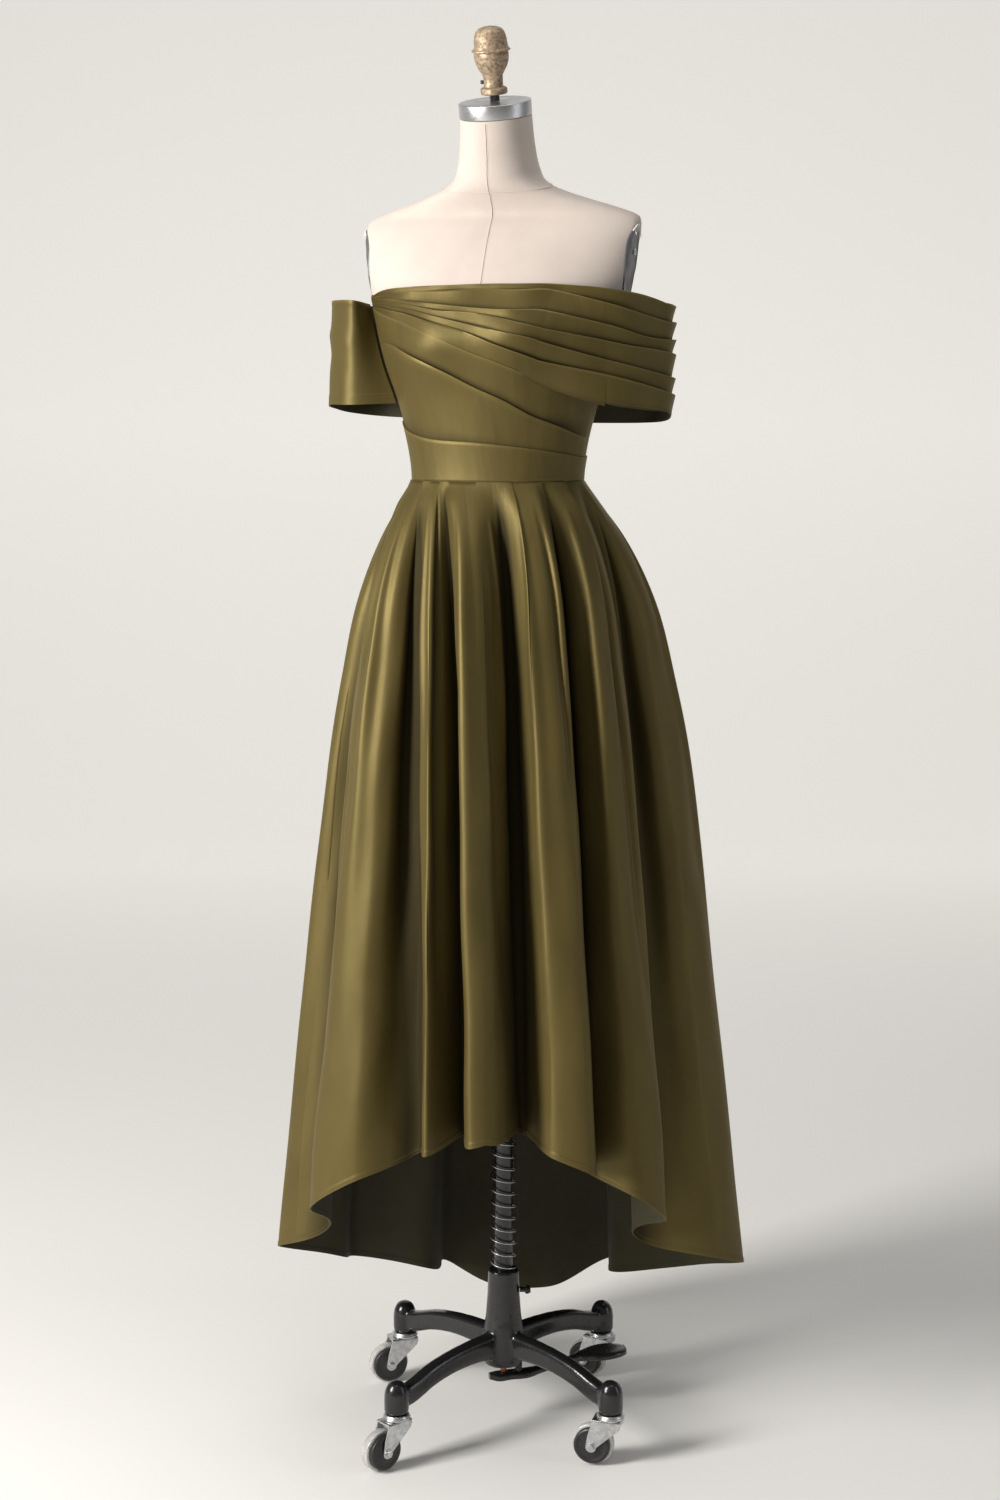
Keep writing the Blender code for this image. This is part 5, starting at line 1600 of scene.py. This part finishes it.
    def panel(self, name: str, start: float, end: float, count: int) -> np.ndarray:
        """Builds one panel.

        Args:
            name: the panel's name.
            start: waist angle of its first seam.
            end: waist angle of its second seam.
            count: places along its hem.

        Returns:
            The line of its hem stitches.
        """
        first, last = self.position(start), self.position(end)
        if last < first:
            last += self.round
        base = list(np.linspace(first + self.panel_gap, last - self.panel_gap, count))
        for angle in WAIST_PLEATS.column("angle"):
            for turned in (angle, angle + 360):
                if start < turned < end:
                    centre = self.position(turned)
                    base += [centre - 0.0004, centre + 0.0004]
        base = np.array(sorted(base))
        drops = np.concatenate([np.linspace(0, 0.10, 22), np.linspace(0.10, 0.985, 84)[1:],
                                np.linspace(0.985, 1.0, 9)[1:]])
        position, drop = np.meshgrid(base, drops)
        grid = self.points(position, drop)
        normal = -grid_normals(self.points(position, drop, False))
        normal[:1, :, 2] = 0
        lift = self.creases(position, drop)
        length = np.linalg.norm(np.diff(grid, axis=0), axis=-1).sum(axis=0)
        left = (1 - drop) * length
        roll = 0.0006 * np.clip((self.hem_depth - left) / 0.002, 0, 1)
        fine = 0.0011 * np.sin(position * 63 + 5 * drop) * np.sin(drop * 21 + position * 9)
        lift = lift + fine * np.clip(drop * 4, 0, 1)
        outer = grid + normal * (lift + roll)[..., None]
        inner = grid + normal * (lift - WALL - roll)[..., None]
        # Painted light: a painted highlight along the hem's rolled edge and painted shade in the fold
        # valleys, from how deep each point lies.
        edge = 0.5 * np.clip(1 - left / 0.0016, 0, 1) + self.painted_fold_shade(position, drop, normal)
        # Levels run down from the waist, so the grid is turned upside down.
        Cloth(name, Held.HUNG).shell(outer[::-1], inner[::-1], edge[::-1])
        row = int(np.argmin(np.abs(left[:, 0] - self.hem_depth * 0.82)))
        return outer[row] + normal[row] * 0.0003


@dataclass
class Dress:
    """The whole dress with its stitching."""

    bodice: Bodice = field(default_factory=Bodice)
    bands: Bands = field(default_factory=Bands)
    skirt: Skirt = field(default_factory=Skirt)

    def build(self, stitches: Pattern) -> None:
        """Builds the cloth pieces, then the stitches on them."""
        groups = {"bodice_stitches": self.bodice.build(), "sleeve_stitches": self.bands.build(),
                  "hem_stitches": self.skirt.build()}
        for name, lines in groups.items():
            edges, points = chains(lines)
            keep(stitches.run(name, points, edges, THREAD), "form", "olive_satin")


# The stand

POLE_RADIUS = 0.0135
BASE_TURN = math.radians(17.0)
ARM_TURNS = {"front_right": 45, "back_right": 135, "back_left": 225, "front_left": 315}
TRAIL_TURNS = {"front_left": 310, "back_left": 290, "back_right": 240, "front_right": 255}
ARM = Table(("distance", "z", "depth", "width"), (
    (0.0180, 0.124, 0.040, 0.024), (0.0600, 0.126, 0.034, 0.023), (0.1050, 0.124, 0.031, 0.022),
    (0.1500, 0.116, 0.031, 0.022), (0.1850, 0.104, 0.032, 0.022), (0.2150, 0.098, 0.028, 0.022),
))
PEDAL = Table(("distance", "z", "width", "depth"), (
    (-0.022, 0.072, 0.010, 0.009), (-0.010, 0.0705, 0.022, 0.012), (0.010, 0.071, 0.022, 0.012),
    (0.036, 0.071, 0.022, 0.012), (0.060, 0.075, 0.014, 0.010), (0.110, 0.086, 0.014, 0.010),
    (0.128, 0.089, 0.034, 0.011), (0.145, 0.090, 0.046, 0.012), (0.175, 0.091, 0.046, 0.012),
    (0.190, 0.091, 0.030, 0.011),
))


def arm_turn(degrees: float) -> float:
    """Plan angle in radians of a turn in degrees measured on the turned base."""
    return math.radians(degrees) + BASE_TURN


@dataclass
class Column:
    """The pole with its flange, spring and stop."""

    bottom: float = 0.108
    flange_low: float = 1.1527
    flange_high: float = 1.1647
    spring_low: float = 0.2395
    spring_high: float = 0.487

    def build(self, coils: Pattern) -> None:
        """Builds the pieces."""
        guide = Guide()
        rows = rounded(((self.bottom, 0.010), (self.bottom, POLE_RADIUS),
                        (self.flange_low - 0.0003, POLE_RADIUS)), 0.001)
        keep(guide.lathe("tube", rows, TUBE, 64), "pole", "black_iron", "pole")
        rows = rounded(((self.flange_low, 0.020), (self.flange_low, 0.045), (self.flange_high, 0.045),
                        (self.flange_high, 0.020)), 0.0012)
        keep(guide.lathe("flange", rows, IRON, 72), "form", "black_iron", "form_flange")
        low = self.spring_high + 0.0003
        high = low + 0.018
        bore = POLE_RADIUS + 0.0003
        rows = rounded(((low, bore), (low, 0.0225), (low + 0.006, 0.0225), (low + 0.007, 0.0215),
                        (low + 0.011, 0.0215), (low + 0.012, 0.0225), (high, 0.0225), (high, bore)), 0.001)
        keep(guide.lathe("stop_collar", rows, IRON, 64, ring=True), "pole", "black_iron", "spring_stop")
        wire = 0.0012
        coil = coils.run("coil_spring", np.array([[0.0, 0.0, self.spring_low + wire]]), [], ZINC,
                         Height=self.spring_high - self.spring_low - 2 * wire)
        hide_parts("spring")
        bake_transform(coil)
        log.info("%s on stand and pole", coil.name)


@dataclass
class Base:
    """The cast base with its set screw."""

    hub: tuple[tuple[float, float], ...] = (
        (0.092, 0.0285), (0.100, 0.0310), (0.150, 0.0290), (0.165, 0.0265), (0.200, 0.0240),
        (0.238, 0.0225))
    stem: tuple[tuple[float, float], ...] = (
        (0.0800, 0.0160), (0.0830, 0.0178), (0.1040, 0.0178), (0.1120, 0.0170), (0.1180, 0.0150),
        (0.1230, 0.0122), (0.1262, 0.0082), (0.1275, 0.0035))
    stem_distance: float = 0.2165
    voxel: float = 0.0024
    screw_reach: float = 0.0242

    def build(self) -> None:
        """Builds the casting and the screw."""
        parts = [Guide().lathe("hub", self.hub, IRON, 48)]
        for name, degrees in ARM_TURNS.items():
            across, along = headings(arm_turn(degrees))
            rings = []
            distances = np.linspace(*ARM.column("distance")[[0, -1]], 24)
            wide, tall = squared_ring(24, 0.45)
            for distance, (z, depth, width) in zip(distances, ARM.at(distances)):
                ring = along * distance + np.outer(wide * width / 2, across)
                rings.append(ring + np.outer(z + tall * depth / 2, UP))
            parts.append(mesh_piece(f"arm_{name}", np.concatenate(rings), loft_faces(24, 24), [IRON],
                                    50.0, outward=True))
            guide = Guide(tuple(along * self.stem_distance))
            parts.append(guide.lathe(f"stem_{name}", self.stem, IRON, 40))
        piece = joined(parts, "casting_blank")
        piece = shaped(piece, "casting_blank", "REMESH", mode="VOXEL", voxel_size=self.voxel)
        piece = shaped(piece, "casting_blank", "SMOOTH", iterations=7, factor=0.5)
        bore = Guide().lathe("bore", ((0.05, 0.0141), (0.30, 0.0141)), IRON, 64)
        piece = shaped(piece, "cast_base", "BOOLEAN", operation="DIFFERENCE", solver="EXACT",
                       object=bore)
        bpy.data.objects.remove(bore)
        smoothed(dressed(piece, IRON).data, 45)
        keep(piece, "stand", "black_iron", "base_casting")
        side = Guide((0.0, 0.0, 0.205), BASE_TURN, 0.0, math.pi / 2)
        rows = ((0.0, 0.0040), (0.008, 0.0040), (0.0081, 0.0065), (0.0135, 0.0065),
                (0.0136, 0.0052), (0.016, 0.0052), (0.016, 0.0020))
        rows = rounded([(self.screw_reach + out, radius) for out, radius in rows], 0.0006)
        keep(side.lathe("locking_screw", rows, IRON, 40), "stand", "black_iron", "set_screw")


@dataclass
class Castor:
    """One castor: head plate, forked swivel, axle with bolt heads, black core and clear tread."""

    name: str
    trail: float = 0.026
    wheel: float = 0.0300
    cheek: tuple[float, float] = (0.0122, 0.0145)
    top: float = 0.0715

    def build(self) -> None:
        """Builds the castor's pieces."""
        swing = arm_turn(TRAIL_TURNS[self.name]) - math.pi / 2
        stem = headings(arm_turn(ARM_TURNS[self.name]))[1] * Base.stem_distance
        guide = Guide(tuple(stem), swing)
        rows = rounded(((0.0718, 0.006), (0.0718, 0.0186), (0.0730, 0.0198), (0.0752, 0.0200),
                        (0.0760, 0.0190), (0.0772, 0.0190), (0.0797, 0.0172), (0.0797, 0.006)), 0.0006)
        keep(guide.lathe(f"head_{self.name}", rows, ZINC, 56), "stand", "zinc_plate",
             f"castor_head_{self.name}")
        self.fork(guide)
        axle = Guide(tuple(guide.place(np.array([self.trail, 0.0, self.wheel]))), swing, math.pi / 2)
        seat = self.cheek[1] + 0.0002
        self.axle(axle, seat)
        rows = rounded(((-0.0110, 0.0040), (-0.0118, 0.0048), (-0.0118, 0.0085), (-0.0106, 0.0098),
                        (-0.0100, 0.0190), (-0.0110, 0.0215), (-0.0110, 0.0240), (-0.0094, 0.0262),
                        (-0.0030, 0.0265), (-0.0028, 0.0205), (0.0108, 0.0200), (0.0110, 0.0180),
                        (0.0104, 0.0090), (0.0115, 0.0080), (0.0115, 0.0040)), 0.0006)
        keep(axle.lathe(f"core_{self.name}", rows, CORE, 64, ring=True), f"wheel_{self.name}",
             "black_core", f"wheel_core_{self.name}")
        rows = rounded(((0.0040, 0.0202), (-0.0024, 0.0204), (-0.0025, 0.0290), (-0.0012, self.wheel),
                        (0.0098, self.wheel), (0.0110, 0.0290), (0.0110, 0.0204), (0.0040, 0.0202)),
                       0.0009)
        keep(axle.lathe(f"tyre_{self.name}", rows[:-1], TREAD, 80, ring=True), f"wheel_{self.name}",
             "clear_tread", f"wheel_tread_{self.name}")

    def fork(self, guide: Guide) -> None:
        """Two tapering cheeks with round ends under a crown."""
        low_turn = np.radians(np.linspace(180, 360, 15))
        eye = 0.0078
        outline = [(-0.0168, self.top), (-0.0172, self.top - 0.006), (-0.0150, self.top - 0.012)]
        outline += [(self.trail + eye * math.cos(t), self.wheel + eye * math.sin(t)) for t in low_turn]
        outline += [(self.trail + 0.0050, self.wheel + 0.018), (self.trail - 0.0005, self.top - 0.006),
                    (self.trail - 0.0010, self.top)]
        count = len(outline)
        pieces = []
        inner, outer = self.cheek
        for side in (-1, 1):
            points = [(px, side * across, pz) for across in (inner, outer) for px, pz in outline]
            pieces.append(self.plate(f"cheek_{side}", guide.place(np.array(points)), count))
        crown = [(-0.0168, self.top), (self.trail - 0.0010, self.top),
                 (self.trail - 0.0008, self.top - 0.0030), (-0.0170, self.top - 0.0030)]
        points = [(px, across, pz) for across in (-outer, outer) for px, pz in crown]
        pieces.append(self.plate("crown", guide.place(np.array(points)), 4))
        piece = shaped(joined(pieces, "fork_blank"), f"fork_{self.name}", "BEVEL", width=0.0007,
                       segments=2, limit_method="ANGLE")
        smoothed(piece.data, 50)
        keep(piece, f"castor_{self.name}", "zinc_plate", f"castor_fork_{self.name}")

    @staticmethod
    def plate(name: str, points: np.ndarray, count: int) -> bpy.types.Object:
        """A flat plate from two equal outlines."""
        faces = [tuple(range(count))[::-1], tuple(range(count, 2 * count))]
        faces += [(a, (a + 1) % count, count + (a + 1) % count, count + a) for a in range(count)]
        return mesh_piece(name, points, faces, [ZINC], 30.0, outward=True)

    def axle(self, axle: Guide, seat: float) -> None:
        """The axle with a washer and a hexagon head on each end."""
        parts = [axle.lathe("shaft", ((-seat - 0.001, 0.0035), (seat + 0.001, 0.0035)), ZINC, 24)]
        for side in (-1, 1):
            rows = rounded(((side * seat, 0.0030), (side * seat, 0.0066), (side * (seat + 0.0009), 0.0066),
                            (side * (seat + 0.0009), 0.0030)), 0.0003)
            parts.append(axle.lathe(f"washer_{side}", rows, ZINC, 32))
            head = [(side * (seat + 0.0009), 0.0056), (side * (seat + 0.0033), 0.0056),
                    (side * (seat + 0.0037), 0.0046), (side * (seat + 0.0037), 0.0020)]
            parts.append(axle.lathe(f"bolt_{side}", head, ZINC, 6, smooth=20.0))
        piece = joined(parts, f"axle_{self.name}")
        keep(piece, f"castor_{self.name}", "zinc_plate", f"castor_axle_{self.name}")


@dataclass
class Treadle:
    """The foot pedal with its ribbed pad, the bracket over it and the link that it lifts."""

    turn: float = 105.0
    pivot: tuple[float, float] = (0.0215, 0.0823)
    ribs: int = 9

    def build(self, ribs: Pattern) -> None:
        """Builds the pieces."""
        guide = Guide((0.0, 0.0, 0.0), arm_turn(self.turn) - math.pi / 2)
        distances = np.linspace(-0.022, 0.190, 72)
        wide, tall = squared_ring(28, 0.6)
        rings = []
        for distance, (z, width, depth) in zip(distances, PEDAL.at(distances)):
            pad = np.clip((distance - 0.122) / 0.010, 0, 1)
            oval = math.sqrt(max(0.0, 1 - ((distance - 0.157) / 0.036) ** 2)) * 0.048
            width = width * (1 - pad) + max(oval, 0.006) * pad
            rings.append(np.stack([np.full(28, distance), wide * width / 2, z + tall * depth / 2], -1))
        points = guide.place(np.concatenate(rings))
        piece = mesh_piece("foot_pedal", points, loft_faces(72, 28), [IRON], 50.0, outward=True)
        keep(piece, "pedal", "black_iron", "pedal")
        places = np.linspace(0.132, 0.182, self.ribs)
        tops = PEDAL.at(places, "z") + PEDAL.at(places, "depth") / 2 - 0.0002
        reach = np.sqrt(1 - ((places - 0.157) / 0.034) ** 2)
        points = guide.place(np.stack([places, np.zeros(self.ribs), tops], -1))
        self.pad_ribs(ribs, points, reach)
        self.bracket(guide)
        rows = rounded(((0.0771, 0.002), (0.0771, 0.0045), (0.1000, 0.0045), (0.1000, 0.002)), 0.0006)
        keep(guide.lathe("lifting_link", rows, COPPER, 32), "pedal", "copper_link", "pedal_link")

    def pad_ribs(self, ribs: Pattern, points: np.ndarray, reach: np.ndarray) -> None:
        """Rounded ribs across the pad, each as long as the pad is wide there."""
        turn = arm_turn(self.turn) - math.pi / 2
        pieces = [ribs.run(f"rib_{number}", point[None, :], [], IRON, Length=0.040 * share, Turn=turn)
                  for number, (point, share) in enumerate(zip(points, reach))]
        keep(joined(pieces, "pedal_ribs", soft=True), "pedal", "black_iron")

    def bracket(self, guide: Guide) -> None:
        """The post that the pedal rocks against."""
        distance, height = self.pivot
        turn = math.pi * np.arange(19) / 18
        outline = [(distance - 0.005 * math.cos(t), height - 0.005 * math.sin(t)) for t in turn]
        outline += [(distance + 0.005, 0.0917), (distance - 0.005, 0.0917)]
        count = len(outline)
        points = [(px, side * 0.009, pz) for side in (-1, 1) for px, pz in outline]
        piece = Castor.plate("bracket_blank", guide.place(np.array(points)), count)
        piece = shaped(dressed(piece, IRON), "pedal_post", "BEVEL", width=0.0008, segments=2)
        keep(piece, "stand", "black_iron", "pedal_bracket")


# The studio


@dataclass
class Studio:
    """Floor and backdrop, soft lights and the camera."""

    lens: float = 57.43
    distance: float = 3.4
    height: float = 1.519
    down: float = math.radians(8.43)
    azimuth: float = math.radians(17.0)
    aside: float = -0.0052
    backdrop: tuple[float, float, float] = (0.70, 0.69, 0.67)
    glow: float = 0.42
    aim_height: float = 1.0

    def build(self) -> None:
        """Sets the stage."""
        self.floor()
        self.lights()
        self.camera()

    def floor(self) -> None:
        """A pale floor that curves up into a backdrop, with a painted glow that is dim near the camera and
        bright behind the dress.
        """
        made = Backdrop("pale backdrop", self.backdrop, 0.9, 0.0, (
            ("Emission Strength", self.glow),), turn=self.azimuth)
        start, curve = 4.6, 1.4
        turn = np.linspace(-math.pi / 2, 0, 14)[1:]
        rows = [(-6.0, 0.0), (start, 0.0)]
        rows += [(start + curve * math.cos(t), curve + curve * math.sin(t)) for t in turn]
        rows += [(start + curve, 8.0)]
        side, near = headings(self.azimuth)
        points = [side * across - near * away + UP * z for away, z in rows for across in (-9.0, 9.0)]
        faces = [(2 * n, 2 * n + 1, 2 * n + 3, 2 * n + 2) for n in range(len(rows) - 1)]
        mesh_piece("studio_floor", np.array(points), faces, [made], 60.0)

    def area(self, name: str, place: tuple[float, float, float], size: tuple[float, float],
             power: float, color: tuple[float, float, float]) -> None:
        """A soft light aimed at the middle of the dress.

        Args:
            name: the light's name.
            place: where it stands, in the camera's directions: right, towards, up.
            size: its width and height.
            power: its power in watts.
            color: its colour.
        """
        right, near = headings(self.azimuth)
        spot = POLE + right * place[0] + near * place[1] + UP * place[2]
        data = bpy.data.lights.new(name, "AREA")
        data.shape = "RECTANGLE"
        data.size, data.size_y = size
        data.energy = power
        data.color = color
        lamp = linked(name, data)
        lamp.location = spot
        z_axis = unit(spot - (POLE + UP * self.aim_height))
        x_axis = unit(np.cross(UP, z_axis))
        aim = Matrix((x_axis, np.cross(z_axis, x_axis), z_axis)).transposed()
        lamp.rotation_euler = aim.to_euler()

    def lights(self) -> None:
        """A key from the left front, a weak fill, a top light and a pale world."""
        self.area("key", (-2.7, 1.7, 2.0), (0.9, 1.9), 190.0, (1.0, 0.98, 0.945))
        self.area("fill", (3.0, 1.0, 1.4), (0.7, 2.4), 12.0, (0.93, 0.96, 1.0))
        self.area("top", (0.2, 0.4, 3.8), (2.4, 2.0), 30.0, (1.0, 0.99, 0.97))
        world = bpy.data.worlds.new("studio")
        world.use_nodes = True
        background = world.node_tree.nodes["Background"].inputs
        background["Color"].default_value = (0.84, 0.83, 0.81, 1.0)
        background["Strength"].default_value = 0.20
        bpy.context.scene.world = world
        bpy.context.scene.view_settings.view_transform = "Standard"

    def camera(self) -> None:
        """The camera at the photograph's viewing angle."""
        data = bpy.data.cameras.new("camera")
        data.sensor_fit = "VERTICAL"
        data.sensor_height = 36.0
        data.lens = self.lens
        obj = linked("camera", data)
        right, near = headings(self.azimuth)
        obj.location = POLE + near * self.distance + right * self.aside + UP * self.height
        obj.rotation_euler = (math.pi / 2 - self.down, 0.0, self.azimuth)
        bpy.context.scene.camera = obj


def main() -> None:
    """Builds the studio, the dress, the form and the stand."""
    logging.basicConfig(level=logging.INFO, format="%(message)s")
    Studio().build()
    stitches = stitch_pattern()
    Dress().build(stitches)
    DressForm().build(stitches)
    Column().build(coil_pattern())
    Base().build()
    for name in ARM_TURNS:
        Castor(name).build()
    Treadle().build(rib_pattern())


if __name__ == "__main__":
    main()
